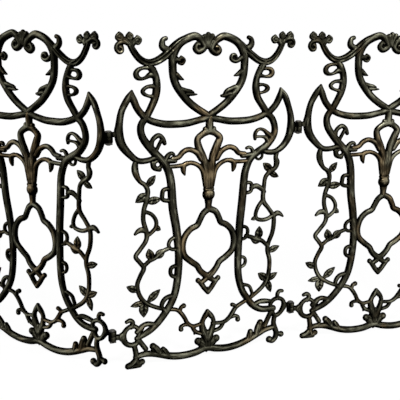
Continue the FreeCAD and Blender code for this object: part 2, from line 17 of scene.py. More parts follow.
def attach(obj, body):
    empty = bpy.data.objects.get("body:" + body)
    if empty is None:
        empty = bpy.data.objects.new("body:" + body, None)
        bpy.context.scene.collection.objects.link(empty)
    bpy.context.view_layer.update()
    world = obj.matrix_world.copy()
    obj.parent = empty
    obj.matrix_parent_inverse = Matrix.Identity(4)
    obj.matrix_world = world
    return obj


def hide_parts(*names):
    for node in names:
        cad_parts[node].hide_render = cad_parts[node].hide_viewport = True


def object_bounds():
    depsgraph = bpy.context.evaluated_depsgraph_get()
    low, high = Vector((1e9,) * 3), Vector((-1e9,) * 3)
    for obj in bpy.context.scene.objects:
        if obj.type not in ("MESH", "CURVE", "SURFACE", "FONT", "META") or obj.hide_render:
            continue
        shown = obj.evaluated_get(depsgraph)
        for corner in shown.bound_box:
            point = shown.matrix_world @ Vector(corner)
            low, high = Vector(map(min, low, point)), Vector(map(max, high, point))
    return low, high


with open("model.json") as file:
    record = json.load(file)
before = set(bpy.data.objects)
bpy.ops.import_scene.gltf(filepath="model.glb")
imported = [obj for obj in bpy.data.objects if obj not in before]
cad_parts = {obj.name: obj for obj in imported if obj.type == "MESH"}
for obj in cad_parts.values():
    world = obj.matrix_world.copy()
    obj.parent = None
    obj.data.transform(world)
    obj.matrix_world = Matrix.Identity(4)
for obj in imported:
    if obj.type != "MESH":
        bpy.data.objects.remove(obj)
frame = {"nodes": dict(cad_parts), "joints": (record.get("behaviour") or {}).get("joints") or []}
cad_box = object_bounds()
SCREEN_HEIGHT = cad_box[1].z - cad_box[0].z
print(f"{len(frame['nodes'])} nodes, screen {SCREEN_HEIGHT:.3f} m tall")

# %% [markdown]
# ## Squared paper
# A foundry draws a panel's pattern once and casts it three times. The pattern here is drawn the
# same way, on squared paper: columns run out from the panel's middle line and rows up from the
# floor, and 720 rows make the panel's height. Bars, balls and leaves are noted as points with
# sizes, in squares. A smooth line through a few points is easier to correct against a photograph
# than a modelled mesh. Smoothing wears a casting thinner, so every width gets a small allowance, as
# a patternmaker allows for metal that shrinks.

# %% Squares and depths
PATTERN_ROWS = 720
SQUARE = SCREEN_HEIGHT / PATTERN_ROWS
BAR_WIDTH = 16
VINE_WIDTH = 8
BAR_HALF_DEPTH = 6.4
VINE_HALF_DEPTH = 4.3
ALLOWANCE = 0.7


def half_depth(share):
    """Half the depth of a bar or ball, front to back: thin ones are shallower."""
    return BAR_HALF_DEPTH * (0.5 + 0.5 * min(share, 1))


print(f"one square is {SQUARE * 1000:.3f} mm")

# %% The drawing
KINDS = {"bar": 0, "ball": 1, "leaf": 2}
LEAF_HALF_DEPTH = 4.6
RING_POINTS = 20
CURL_TURNS = [(90, .72, .3), (170, .72, .31), (250, .72, .31), (330, .68, .29), (410, .56, .27),
              (470, .4, .25)]
CURL_MIDDLE = 1.5
CURL_MIDDLE_DEPTH = 0.32


def round_point(across, up, radius, turn, share):
    """A point of a bar that runs round a middle point."""
    return across + radius * math.cos(turn), up + radius * math.sin(turn), share


class Drawing:
    """Bars, balls and leaves of one piece of the casting, in columns from an axis and rows up."""

    def __init__(self, axis=0):
        self.axis = axis
        self.points = []
        self.edges = []
        sizes = ("half_width", "half_depth", "ridges", "groove", "kind", "aim")
        self.values = {size: [] for size in sizes}

    def put(self, across, up, kind, half_width, depth, ridges=1, groove=0.0, aim=(0, 0, 0)):
        """Note one point and its sizes."""
        self.points.append((across * SQUARE, up * SQUARE, 0))
        row = ((half_width + ALLOWANCE) * SQUARE, depth * SQUARE, ridges, groove, KINDS[kind], aim)
        for values, value in zip(self.values.values(), row):
            values.append(value)

    def bar(self, *points, side=1, width=BAR_WIDTH, depth=1, ridges=1, groove=0.0, closed=False):
        """A bar through points of (column, row, share of the bar width).

        Its face has a wave for each ridge. A groove presses the wave in, or below zero swells it.
        """
        start = len(self.points)
        for across, up, share in points:
            thick = half_depth(share) if width == BAR_WIDTH else VINE_HALF_DEPTH
            column = self.axis + side * across
            self.put(column, up, "bar", share * width / 2, thick * depth, ridges, groove)
        last = len(self.points) - 1
        self.edges += [(number, number + 1) for number in range(start, last)]
        if closed:
            self.edges.append((last, start))

    def vine(self, *points):
        """A thin vine stem."""
        self.bar(*points, width=VINE_WIDTH)

    def ball(self, across, up, share, side=1, depth=1):
        """A round boss, flattened to the depth of the bars."""
        column = self.axis + side * across
        self.put(column, up, "ball", share * BAR_WIDTH / 2, half_depth(share) * depth)

    def ring(self, across, up, radius, share):
        """A round ring of bar."""
        turns = [2 * math.pi * number / RING_POINTS for number in range(RING_POINTS)]
        self.bar(*(round_point(across, up, radius, turn, share) for turn in turns), closed=True)

    def volute(self, across, up, *turns, side=1):
        """A bar wound round a middle point, through (degrees, radius, share of the bar width)."""
        points = [round_point(across, up, radius, math.radians(degrees), share)
                  for degrees, radius, share in turns]
        self.bar(*points, side=side)

    def curl(self, across, up, radius, side=1):
        """A small tight curl round a sunken middle."""
        turns = [(start, radius * reach, share) for start, reach, share in CURL_TURNS]
        self.volute(across, up, *turns, side=side)
        self.ball(across, up, radius / BAR_WIDTH * CURL_MIDDLE, side, CURL_MIDDLE_DEPTH)

    def leaf(self, stalk, tip, plump):
        """A pointed leaf from stalk to tip, as wide as its share of that length."""
        start, end = (Vector((self.axis + across, up, 0)) for across, up in (stalk, tip))
        along = end - start
        half_width = plump * along.length / 2
        self.put(start.x, start.y, "leaf", half_width, LEAF_HALF_DEPTH, aim=along * SQUARE)

    def mesh(self, name):
        """The drawing as a mesh of lines and points that carry their sizes as attributes."""
        made = bpy.data.meshes.new(name)
        made.from_pydata(self.points, self.edges, [])
        for label, values in self.values.items():
            kind = {"kind": "INT", "aim": "FLOAT_VECTOR"}.get(label, "FLOAT")
            attribute = made.attributes.new(label, kind, "POINT")
            for item, value in zip(attribute.data, values):
                if label == "aim":
                    item.vector = value
                else:
                    item.value = value
        return made


print("a drawing holds points of", ", ".join(KINDS))

# %% [markdown]
# ## Wiring nodes
# Shaders and Geometry Nodes are both graphs. Linking them socket by socket is long to write and
# hard to read, so one small class stands for an output socket and lets ordinary arithmetic add the
# Math nodes, and one method adds every other node: its settings first, then its sockets.

# %% Wires and graphs


class Wire:
    """A node's output socket. Arithmetic on it adds Math nodes to the same tree."""

    def __init__(self, graph, socket):
        self.graph = graph
        self.socket = socket

    def __add__(self, other):
        return self.graph.math("ADD", self, other)

    __radd__ = __add__

    def __sub__(self, other):
        return self.graph.math("SUBTRACT", self, other)

    def __rsub__(self, other):
        return self.graph.math("SUBTRACT", other, self)

    def __mul__(self, other):
        return self.graph.math("MULTIPLY", self, other)

    __rmul__ = __mul__

    def __truediv__(self, other):
        return self.graph.math("DIVIDE", self, other)

    def __rtruediv__(self, other):
        return self.graph.math("DIVIDE", other, self)

    def span(self, low, high):
        """This value as a share of the way from low to high, kept between 0 and 1."""
        ends = {"Value": self, "From Min": low, "From Max": high}
        return self.graph.add("ShaderNodeMapRange", {"interpolation_type": "SMOOTHSTEP"}, ends)

    def beside(self, name):
        """Another output of the same node."""
        return Wire(self.graph, self.socket.node.outputs[name])


class Graph:
    """A node tree, and the one method that adds a node of any type to it."""

    def __init__(self, tree):
        self.tree = tree

    def add(self, kind, settings=None, sockets=None, out=0):
        """Add a node: its settings first, then the values or links of its sockets."""
        node = self.tree.nodes.new(kind)
        for name, value in (settings or {}).items():
            setattr(node, name, value)
        for key, value in (sockets or {}).items():
            for one in value if isinstance(value, list) else [value]:
                if isinstance(one, Wire):
                    self.tree.links.new(one.socket, node.inputs[key])
                else:
                    node.inputs[key].default_value = one
        return Wire(self, node.outputs[out]) if len(node.outputs) else None

    def math(self, operation, first, second=0):
        """A Math node. An operation on one value leaves the second alone."""
        return self.add("ShaderNodeMath", {"operation": operation}, {0: first, 1: second})

    def vector(self, operation, first, second=(0, 0, 0), out=0):
        """A Vector Math node."""
        values = {0: first, 1: second}
        return self.add("ShaderNodeVectorMath", {"operation": operation}, values, out)

    def mix(self, share, first, second):
        """One colour over another by a share."""
        colours = {0: share, 6: first, 7: second}
        return self.add("ShaderNodeMix", {"data_type": "RGBA"}, colours, out=2)


print("wires and graphs ready")

# %% [markdown]
# ## The finish: bronze rubbed over black iron, with painted light and shade
# The castings are blackened all over, and then bronze paint is wiped on with a cloth, from the
# front and a little from above. The same mask also paints the light and shade of a lamp from the
# front and above: what faces that way turns brown and gold, the gold lines along the tops and middles
# of the bars are a painted highlight, and flanks and edges stay black as painted shade. Hollows stay
# black because the cloth does not reach them. A plain mix of two colours by noise would look like
# rust, so the mask is read from attributes that are measured on the finished mesh: how squarely the
# surface faces the cloth and the painted light, whether it lies in a hollow, and how much its piece
# is rubbed. The cloth is drawn along the bars, so the noise that frays the mask is laid out beside
# each bar's middle line and stretched along it. Larger soft patches of noise turn the paint from
# olive to copper, most of all on the piece that is rubbed most.

# %% Rubbed iron
# Black iron, which also stands as painted shade on flanks and edges; brown and umber for the bronze,
# olive and copper for its gold, which is also the painted highlight
IRON = (0.0005, 0.0005, 0.0004, 1)
BROWN = (0.0228, 0.0218, 0.0145, 1)
UMBER = (0.0325, 0.0232, 0.0122, 1)
COPPERY = (0.226, 0.17, 0.095, 1)
OLIVE = (0.206, 0.203, 0.145, 1)
STROKE = 0.2
STREAK_SCALE = 240
GRAIN_SCALE = 600
WEAR_SCALE = 18
PATCH_SCALE = 13
MOTTLE_SCALE = 30
# How far a surface must face the front and above before it turns brown, then gold: the cloth's reach
# and the painted light together
BROWN_FROM = 0.74
BROWN_SPAN = (0.25, 1.05)
GOLD_FROM = 0.86
GOLD_SPAN = (0.65, 1.55)
WARM_SPAN = (0.15, 0.5)
PIT_DEPTH = 0.0006
MEASURES = {"relief": "Fac", "wiped": "Fac", "polish": "Fac", "beside_line": "Vector"}


def empty_graph(owner):
    """The node tree of a material or a world, emptied."""
    owner.use_nodes = True
    owner.node_tree.nodes.clear()
    return Graph(owner.node_tree)


def noise(graph, place, scale, detail=3):
    """Cloudy noise on the object's own coordinates, centred on zero."""
    sockets = {"Vector": place, "Scale": scale, "Detail": detail}
    return graph.add("ShaderNodeTexNoise", {}, sockets) - 0.5


def rubbed_iron():
    """Blackened cast iron with bronze rubbed over it, and with painted light and shade from the front
    and above.
    """
    material = bpy.data.materials.new("rubbed_iron")
    graph = empty_graph(material)
    place = graph.add("ShaderNodeTexCoord", out="Object")
    relief, wiped, polish, beside = (
        graph.add("ShaderNodeAttribute", {"attribute_name": name}, out=out)
        for name, out in MEASURES.items()
    )
    along = graph.add("ShaderNodeVectorMath", {"operation": "SCALE"}, {0: place, "Scale": STROKE})
    streaks = noise(graph, graph.vector("ADD", beside, along), STREAK_SCALE, 4)
    grain = noise(graph, place, GRAIN_SCALE, 2)
    wear = noise(graph, place, WEAR_SCALE) * 1.2 + streaks * 2.2 + grain * 0.3
    hollow = graph.math("MINIMUM", relief, 0)
    # Facing towards the front and above, plus the piece's polish: rubbed bronze and painted light
    reached_and_lit = wiped + polish
    # Brown where the surface faces the front and above, black on flanks and edges as painted shade
    brown_and_lit = ((reached_and_lit - BROWN_FROM) * 4 + hollow * 0.5 + wear * 0.8).span(*BROWN_SPAN)
    # Gold lines along the tops and middles of the bars: rubbed bronze and a painted highlight
    gold_and_highlight = ((reached_and_lit - GOLD_FROM) * 6.5 + hollow * 0.5 + wear).span(*GOLD_SPAN)
    patches = noise(graph, place, PATCH_SCALE) * 1.5 + noise(graph, place, MOTTLE_SCALE) * 0.6
    warm = (patches + polish * 7).span(*WARM_SPAN)
    # Black iron with brown over it: the bronze stain, with the black flanks as painted shade
    stain_and_shade = graph.mix(brown_and_lit, IRON, graph.mix(warm, BROWN, UMBER))
    colour = graph.mix(gold_and_highlight, stain_and_shade, graph.mix(warm, OLIVE, COPPERY))
    pits = {"Height": grain + streaks * 0.8, "Strength": 0.35, "Distance": PIT_DEPTH}
    surface = {
        "Base Color": colour,
        "Metallic": gold_and_highlight * 0.55,
        "Roughness": 0.32 + streaks * 0.15,
        "Specular IOR Level": 0.0,
        "Normal": graph.add("ShaderNodeBump", {}, pits),
    }
    shader = graph.add("ShaderNodeBsdfPrincipled", {}, surface)
    graph.add("ShaderNodeOutputMaterial", {}, {"Surface": shader})
    return material


iron = rubbed_iron()
print("made", iron.name)

# %% [markdown]
# ## Turning the drawing into castings
# A bar could be a curve with a bevel, but its section changes along its length, and some bars are
# ridged. Geometry Nodes sweep a circle along each smooth line, flatten it to the bar's depth and
# press grooves into it where the drawing asks. Balls are instanced spheres. Leaves are instances of
# one veined blade, turned to point where they are drawn.

# %% The leaf blank
LEAF_STEPS = 18
LEAF_RIBS = 12
LEAF_END = 0.01
MIDRIB = 0.17
CREASE = 0.6
VEINS = 4
VEIN_DEPTH = 0.22
RIM_DEPTH = 0.25
LEAF_WELD = 0.001


def leaf_point(along, across, face):
    """A point of the blade: full in the middle, pointed at both ends, creased along its midrib."""
    edge = math.sqrt(max(0, 1 - across * across))
    crease = 1 - CREASE * math.exp(-((across / MIDRIB) ** 2))
    beat = math.cos(2 * math.pi * VEINS * (along - 0.25 * abs(across)))
    vein = 1 - VEIN_DEPTH * (0.5 + 0.5 * beat)
    swell = math.sin(math.pi * along) ** 0.6
    outline = math.sin(math.pi * along ** 0.9) ** 0.95
    height = face * 0.5 * swell * (RIM_DEPTH + (1 - RIM_DEPTH) * edge) * crease * vein
    return Vector((along, 0.5 * across * outline, height))


def leaf_blank():
    """One leaf of length, width and depth 1, closed along its rim."""
    mesh = bmesh.new()
    shares = [2 * rib / LEAF_RIBS - 1 for rib in range(LEAF_RIBS + 1)]
    spread = [math.sin(math.pi / 2 * share) for share in shares]
    for face in (-1, 1):
        rows = []
        for step in range(LEAF_STEPS + 1):
            along = LEAF_END + (1 - 2 * LEAF_END) * step / LEAF_STEPS
            row = [leaf_point(along, across, face if abs(across) < 1 else 0) for across in spread]
            rows.append([mesh.verts.new(point) for point in row])
        for row, following in zip(rows, rows[1:]):
            for rib in range(LEAF_RIBS):
                mesh.faces.new((row[rib], row[rib + 1], following[rib + 1], following[rib]))
    bmesh.ops.remove_doubles(mesh, verts=mesh.verts, dist=LEAF_WELD)
    bmesh.ops.holes_fill(mesh, edges=mesh.edges)
    bmesh.ops.recalc_face_normals(mesh, faces=mesh.faces)
    made = bpy.data.meshes.new("leaf_blank")
    mesh.to_mesh(made)
    mesh.free()
    return made


leaf = bpy.data.objects.new("leaf_blank", leaf_blank())
print(f"leaf blank of {len(leaf.data.polygons)} faces")

# %% Balls and leaves on their points
BALL_SEGMENTS = 28
BALL_RINGS = 14


def named(graph, name, kind="FLOAT"):
    """An attribute that the drawing's points carry."""
    return graph.add("GeometryNodeInputNamedAttribute", {"data_type": kind}, {"Name": name})


def placed_balls(graph, points, chosen):
    """A sphere on each chosen point, flattened to the depth noted there."""
    ball = {"Segments": BALL_SEGMENTS, "Rings": BALL_RINGS, "Radius": 1.0}
    sphere = graph.add("GeometryNodeMeshUVSphere", {}, ball)
    half_width = named(graph, "half_width")
    sizes = {0: half_width, 1: half_width, 2: named(graph, "half_depth")}
    scale = graph.add("ShaderNodeCombineXYZ", {}, sizes)
    sockets = {"Points": points, "Selection": chosen, "Instance": sphere, "Scale": scale}
    return graph.add("GeometryNodeInstanceOnPoints", {}, sockets)


def placed_leaves(graph, points, chosen, blank):
    """The leaf blank on each chosen point, turned and stretched to what is noted there."""
    aim = named(graph, "aim", "FLOAT_VECTOR")
    length = graph.vector("LENGTH", aim, out="Value")
    sizes = {0: length, 1: named(graph, "half_width") * 2, 2: named(graph, "half_depth") * 2}
    turn = {"Primary Axis": aim, "Secondary Axis": (0, 0, 1)}
    axes = {"primary_axis": "X", "secondary_axis": "Z"}
    sockets = {
        "Points": points,
        "Selection": chosen,
        "Instance": graph.add("GeometryNodeObjectInfo", {}, {"Object": blank}, out="Geometry"),
        "Rotation": graph.add("FunctionNodeAxesToRotation", axes, turn),
        "Scale": graph.add("ShaderNodeCombineXYZ", {}, sizes),
    }
    return graph.add("GeometryNodeInstanceOnPoints", {}, sockets)


print(f"balls of {BALL_SEGMENTS} by {BALL_RINGS} faces")

# %% Bars swept along their lines
SECTION_POINTS = 40


def stored(graph, geometry, name, value, kind="FLOAT"):
    """Geometry with a value stored on its points under a name."""
    settings = {"data_type": kind, "domain": "POINT"}
    sockets = {"Geometry": geometry, "Name": name, "Value": value}
    return graph.add("GeometryNodeStoreNamedAttribute", settings, sockets)


def smooth_lines(graph, lines, step):
    """A smooth, evenly divided curve through each line of the drawing."""
    curve = graph.add("GeometryNodeMeshToCurve", {}, {"Mesh": lines})
    spline = {"spline_type": "CATMULL_ROM"}
    smooth = graph.add("GeometryNodeCurveSplineType", spline, {"Curve": curve})
    pace = {"Curve": smooth, "Length": step}
    return graph.add("GeometryNodeResampleCurve", {"mode": "LENGTH"}, pace)


def swept_bars(graph, lines, step):
    """A ridged, flattened bar along each line of the drawing, with round ends."""
    even = smooth_lines(graph, lines, step)
    level = graph.add("GeometryNodeSetCurveNormal", {"mode": "Z_UP"}, {"Curve": even})
    section = {"Resolution": SECTION_POINTS, "Radius": 1.0}
    circle = graph.add("GeometryNodeCurvePrimitiveCircle", {}, section)
    axes = graph.add("ShaderNodeSeparateXYZ", {}, {0: graph.add("GeometryNodeInputPosition")})
    profile = stored(graph, circle, "across", axes)
    half_width = named(graph, "half_width")
    sweep = {"Curve": level, "Profile Curve": profile, "Scale": half_width, "Fill Caps": True}
    tube = graph.add("GeometryNodeCurveToMesh", {}, sweep)
    phase = named(graph, "across") * named(graph, "ridges") * math.pi
    waves = graph.math("COSINE", phase)
    press = 1 - named(graph, "groove") * (0.5 - 0.5 * waves)
    place = graph.add("ShaderNodeSeparateXYZ", {}, {0: graph.add("GeometryNodeInputPosition")})
    depth = place.beside("Z") * named(graph, "half_depth") / half_width * press
    moved = graph.add("ShaderNodeCombineXYZ", {}, {0: place, 1: place.beside("Y"), 2: depth})
    bars = graph.add("GeometryNodeSetPosition", {}, {"Geometry": tube, "Position": moved})
    ends = graph.add("GeometryNodeCurveEndpointSelection", {}, {"Start Size": 1, "End Size": 1})
    return bars, placed_balls(graph, level, ends)


print(f"bars with sections of {SECTION_POINTS} points")

# %% The tree that makes a drawing solid


def new_tree(name, sizes):
    """A Geometry Nodes tree with a geometry input and one named input for each size."""
    tree = bpy.data.node_groups.new(name, "GeometryNodeTree")
    tree.interface.new_socket("Geometry", in_out="INPUT", socket_type="NodeSocketGeometry")
    for label, kind in sizes.items():
        tree.interface.new_socket(label, in_out="INPUT", socket_type=f"NodeSocket{kind}")
    tree.interface.new_socket("Geometry", in_out="OUTPUT", socket_type="NodeSocketGeometry")
    graph = Graph(tree)
    return graph, graph.add("NodeGroupInput")


def finish_tree(graph, geometry, material):
    """End a tree in plain geometry with a material on it."""
    plain = graph.add("GeometryNodeRealizeInstances", {}, {"Geometry": geometry})
    dressed = graph.add("GeometryNodeSetMaterial", {}, {"Geometry": plain, "Material": material})
    graph.add("NodeGroupOutput", {}, {"Geometry": dressed})


def of_kind(graph, kind):
    """The drawing's points of one kind."""
    test = {"data_type": "INT", "operation": "EQUAL"}
    return graph.add("FunctionNodeCompare", test, {2: named(graph, "kind", "INT"), 3: KINDS[kind]})


def scrollwork_tree():
    """The tree that turns a drawing's lines and points into bars, balls and leaves."""
    sizes = {"Step": "Float", "Leaf": "Object", "Material": "Material"}
    graph, drawing = new_tree("scrollwork", sizes)
    bars, ends = swept_bars(graph, drawing, drawing.beside("Step"))
    points = graph.add("GeometryNodeMeshToPoints", {}, {"Mesh": drawing})
    balls = placed_balls(graph, points, of_kind(graph, "ball"))
    leaves = placed_leaves(graph, points, of_kind(graph, "leaf"), drawing.beside("Leaf"))
    together = graph.add("GeometryNodeJoinGeometry", {}, {"Geometry": [bars, ends, balls, leaves]})
    finish_tree(graph, together, drawing.beside("Material"))
    return graph


scrollwork = scrollwork_tree()
print(f"scrollwork tree of {len(scrollwork.tree.nodes)} nodes")

# %% [markdown]
# ## One skin, where the cloth reaches and where the painted light falls
# Metal poured into a mould has no seams where two scrolls cross: they flow together in a small
# fillet. A boolean union would leave knife-sharp creases, so a voxel remesh melts the parts of a
# piece into one skin, and a little smoothing rounds its creases as a sand mould does. A second tree
# then measures the skin for the finish: which way it faces, towards the cloth and the painted light
# from the front and above, whether it lies deeper than its blurred surroundings, and where it is
# beside the nearest line of the drawing. It also presses the soles flat on the floor.

# %% The tree that measures the skin
RELIEF_DEPTH = 0.9
BLUR_STEPS = 28
# The way the cloth wipes, from the front and a little above, which is also where the painted light
# comes from
WIPE_AND_LIGHT = Vector((-0.08, 0.3, 0.95)).normalized()


def measured_tree():
    """The tree that stores relief, facing to the cloth and painted light, polish and beside_line."""
    sizes = {"Lines": "Object", "Material": "Material", "Blur": "Int"}
    sizes |= {"Step": "Float", "Relief depth": "Float", "Polish": "Float"}
    graph, skin = new_tree("measured_skin", sizes)
    place = graph.add("ShaderNodeSeparateXYZ", {}, {0: graph.add("GeometryNodeInputPosition")})
    floor_row = graph.math("MAXIMUM", place.beside("Y"), 0)
    flat = graph.add("ShaderNodeCombineXYZ", {}, {0: place, 1: floor_row, 2: place.beside("Z")})
    soled = graph.add("GeometryNodeSetPosition", {}, {"Geometry": skin, "Position": flat})
    position = graph.add("GeometryNodeInputPosition")
    blur = {"Value": position, "Iterations": skin.beside("Blur")}
    soft = graph.add("GeometryNodeBlurAttribute", {"data_type": "FLOAT_VECTOR"}, blur)
    facing = graph.add("GeometryNodeInputNormal")
    offset = graph.vector("SUBTRACT", position, soft)
    bulge = graph.vector("DOT_PRODUCT", offset, facing, out="Value")
    normal = graph.add("ShaderNodeSeparateXYZ", {}, {0: facing})
    outward = graph.math("ABSOLUTE", normal.beside("Z"))
    # Facing towards the front and above: the reach of the cloth and the direction of the painted
    # light
    wiped = normal * WIPE_AND_LIGHT.x + normal.beside("Y") * WIPE_AND_LIGHT.y + outward * WIPE_AND_LIGHT.z
    drawn = {"Object": skin.beside("Lines")}
    lines = graph.add("GeometryNodeObjectInfo", {}, drawn, out="Geometry")
    curves = smooth_lines(graph, lines, skin.beside("Step"))
    wires = graph.add("GeometryNodeCurveToMesh", {}, {0: curves})
    to_edges = {"target_element": "EDGES"}
    nearest = graph.add("GeometryNodeProximity", to_edges, {0: wires}, out="Position")
    relief = bulge / skin.beside("Relief depth")
    beside = graph.vector("SUBTRACT", position, nearest)
    values = (relief, wiped, skin.beside("Polish"), beside)
    geometry = soled
    for (name, out), value in zip(MEASURES.items(), values):
        kind = "FLOAT_VECTOR" if out == "Vector" else "FLOAT"
        geometry = stored(graph, geometry, name, value, kind)
    finish_tree(graph, geometry, skin.beside("Material"))
    return graph


measured = measured_tree()
print(f"measuring tree of {len(measured.tree.nodes)} nodes")

# %% From drawing to skin
SWEEP_STEP = 2.0
VOXEL = 0.88
SMOOTHING = 2
KEPT_SHARE = 0.42


def linked(name, data):
    """A new object in the scene."""
    made = bpy.data.objects.new(name, data)
    bpy.context.scene.collection.objects.link(made)
    return made


def put_tree(piece, graph, inputs):
    """Add a tree to an object as a modifier, its inputs set by their socket identifiers."""
    modifier = piece.modifiers.new(graph.tree.name, "NODES")
    modifier.node_group = graph.tree
    for item in graph.tree.interface.items_tree:
        if item.in_out == "INPUT" and item.name in inputs:
            modifier[item.identifier] = inputs[item.name]


def plain_mesh(maker):
    """The object's mesh with its modifiers carried out; the object itself is removed."""
    evaluated = maker.evaluated_get(bpy.context.evaluated_depsgraph_get())
    mesh = bpy.data.meshes.new_from_object(evaluated)
    bpy.data.objects.remove(maker)
    return mesh


def cast(name, drawing, polish):
    """The drawing as one smooth skin in the pattern's plane."""
    maker = linked(name, drawing.mesh(name))
    lines = bpy.data.objects.new(f"{name}_lines", maker.data.copy())
    put_tree(maker, scrollwork, {"Step": SWEEP_STEP * SQUARE, "Leaf": leaf, "Material": iron})
    remesh = maker.modifiers.new("melt", "REMESH")
    remesh.mode = "VOXEL"
    remesh.voxel_size = VOXEL * SQUARE
    smooth = maker.modifiers.new("soften", "SMOOTH")
    smooth.iterations = SMOOTHING
    thin = maker.modifiers.new("thin", "DECIMATE")
    thin.ratio = KEPT_SHARE
    sizes = {"Lines": lines, "Step": SWEEP_STEP * SQUARE, "Blur": BLUR_STEPS, "Polish": polish}
    put_tree(maker, measured, sizes | {"Relief depth": RELIEF_DEPTH * SQUARE, "Material": iron})
    mesh = plain_mesh(maker)
    bpy.data.objects.remove(lines)
    mesh.shade_smooth()
    print(f"{name}: {len(mesh.polygons)} faces")
    return mesh


skins = {}
print(f"skins melted at {VOXEL * SQUARE * 1000:.2f} mm")

# %% [markdown]
# ## The crest
# Two C-scrolls lean together into a heart, each wound into a volute at the top with a small bud
# between them. Thorns and a curl grow inside the heart. A U-shaped arm with two ridges leaves each
# side and ends in a cluster of small curls. A spiral formula would make every volute alike, but the
# cast ones differ, so each is a bar through a few points round its eye, and a ball fills the eye.

# %% The heart
crest = Drawing()
HEART_STARTS = {
    -1: [(21.5, 705.5, .85), (36, 709.5, .98)],
    1: [(9.5, 695, .75), (20, 704.5, .9), (36, 709, .95)],
}
for side, start in HEART_STARTS.items():
    crest.bar(*start, (64, 697, 1.02), (79, 674, 1.05), (81, 650, 1.02), (78, 625, 1),
              (68.5, 605, .98), (48, 580, .96), (27, 563, .94), (1, 547, .92), side=side)
# The volutes and their eyes
crest.volute(23.5, 688.5, (95, 17, .85), (180, 11.8, .85), (270, 9.2, .78), (340, 8.8, .7),
             (410, 6.5, .5), (460, 4, .36), side=-1)
crest.ball(24, 688.5, 1.4, side=-1, depth=.5)
crest.volute(15.2, 683.4, (115, 14.5, .8), (180, 10.8, .78), (270, 8.2, .72), (340, 8, .65),
             (410, 6.2, .48), (455, 4, .34), side=1)
crest.ball(15.7, 683.4, 1.25, side=1, depth=.5)
# The three lobes of the bud
for across, up in ((-11, 708.5), (-3, 712.5), (6, 709.5)):
    crest.bar((-3, 688, .5), ((across - 3) / 2 - 1, 700, .5), (across, up, .66))
print(f"heart drawn with {len(crest.points)} points")

# %% Thorns, curls and hooks of the heart
# One curl inside each half of the heart
crest.bar((82, 664, .9), (73, 663, .8), (67, 662, .6), side=-1)
crest.curl(62.5, 661.5, 10.2, side=-1)
crest.bar((79, 671, .6), (66, 660, .52), (57, 658.5, .48), (50, 663, .46), (51.5, 670, .45),
          (58, 671.5, .42), (61, 667, .4), side=1)
crest.ball(56, 665, .7, side=1, depth=.45)
THORNS = [
    (-1, [(73, 633, .72), (64.5, 626.5, .5), (57.5, 623.3, .14)]),
    (-1, [(62, 604, .55), (50, 600.5, .5), (41, 599, .4), (34.5, 597, .14)]),
    (-1, [(56, 594, .4), (44, 593, .42), (34, 592.3, .3), (27.5, 592.3, .12)]),
    (1, [(75, 637, .72), (66, 631.5, .5), (58.5, 628.5, .16)]),
    (1, [(60, 605, .55), (50, 601, .56), (42, 598, .5), (37.5, 594, .4), (36, 590, .4)]),
    (1, [(54, 591, .5), (44, 590, .55), (35, 587.5, .5), (29, 587.5, .3)]),
]
for side, thorn in THORNS:
    crest.bar(*thorn, side=side)
# The hooks outside the heart
crest.bar((84, 682, .7), (94, 684, .8), (102.5, 689, .86), (103.5, 697, .74), (101, 703.5, .58),
          (96, 706, .46), side=-1)
crest.ball(96, 705.5, .54, side=-1)
crest.bar((82, 685, .7), (91, 687, .8), (96, 692.5, .78), (96.5, 699.5, .66), (94, 705, .52),
          (90, 706.5, .42), side=1)
crest.ball(89.5, 706.5, .52, side=1)
print(f"{len(THORNS)} thorns in the heart")

# %% The horns
ARMS = {
    -1: [(42, 708.5, .5), (57, 704, .8), (72, 694, 1), (86, 681.5, 1.08), (100, 670, 1.04),
         (115, 661.5, .96), (130, 658, .9), (143, 661, .86), (155, 670, .82), (165, 683.5, .78),
         (171, 694, .66)],
    1: [(56, 704, .5), (70, 695, .75), (86, 680, .92), (100, 669, .95), (115, 659.5, .92),
        (130, 655.5, .9), (144, 659, .86), (156, 669, .82), (165, 682.5, .78), (172, 696, .66)],
}
SCROLLS = {
    -1: [(163, 683, .5), (170, 692, .5), (179, 698, .5), (189, 698.5, .48), (197, 694, .46),
         (199, 686, .44), (194, 679.5, .42), (187.5, 680.5, .38), (186, 686, .34), (190, 689, .3)],
    1: [(163, 684, .48), (170, 695, .48), (179, 702, .48), (188, 704, .46), (196, 700.5, .44),
        (198, 693.5, .42), (193.5, 687.5, .4), (187.5, 688.5, .36), (186, 693, .32),
        (190, 696, .3)],
}
CURLS = {
    -1: [(192.5, 709.5, 9.6), (172, 710, 8.6), (155.5, 702.5, 9.8)],
    1: [(189, 710, 9.4), (170.3, 710.5, 8.2), (152.4, 703, 9.6)],
}
ARM_TIP = (168, 691)
ARCH = 1.5
SCROLL_EYES = {-1: 688, 1: 695}
for side, arm in ARMS.items():
    crest.bar(*arm, side=side, depth=.75, ridges=2, groove=-.6)
    for across, up, radius in CURLS[side]:
        halfway = ((ARM_TIP[0] + across) / 2, (ARM_TIP[1] + up) / 2 + ARCH, .55)
        crest.bar((*ARM_TIP, .7), halfway, (across, up, .6), side=side, depth=.8)
        crest.curl(across, up, radius, side=side)
    crest.bar(*SCROLLS[side], side=side)
    crest.ball(192, SCROLL_EYES[side], 1.1, side=side, depth=.36)
    crest.ball(181, 702, .9, side=side, depth=.5)
    crest.ball(164, 699, .85, side=side, depth=.6)
skins["crest"] = cast("crest", crest, polish=0.02)

# %% [markdown]
# ## The uprights
# Two tall bars carry the panel. A swag joins them below the heart, an S-shaped neck with two
# pointed loops rises on each side to the horn, and a crescent bends out to the hinge. Small hooks,
# rings and loops grow from the bars, where the vines and the palmette are tied to them. A plain
# tube would look like bent wire, so every point has its own share of the bar's width, and the bars
# swell and thin as cast ones do.

# %% Left upright
uprights = Drawing()
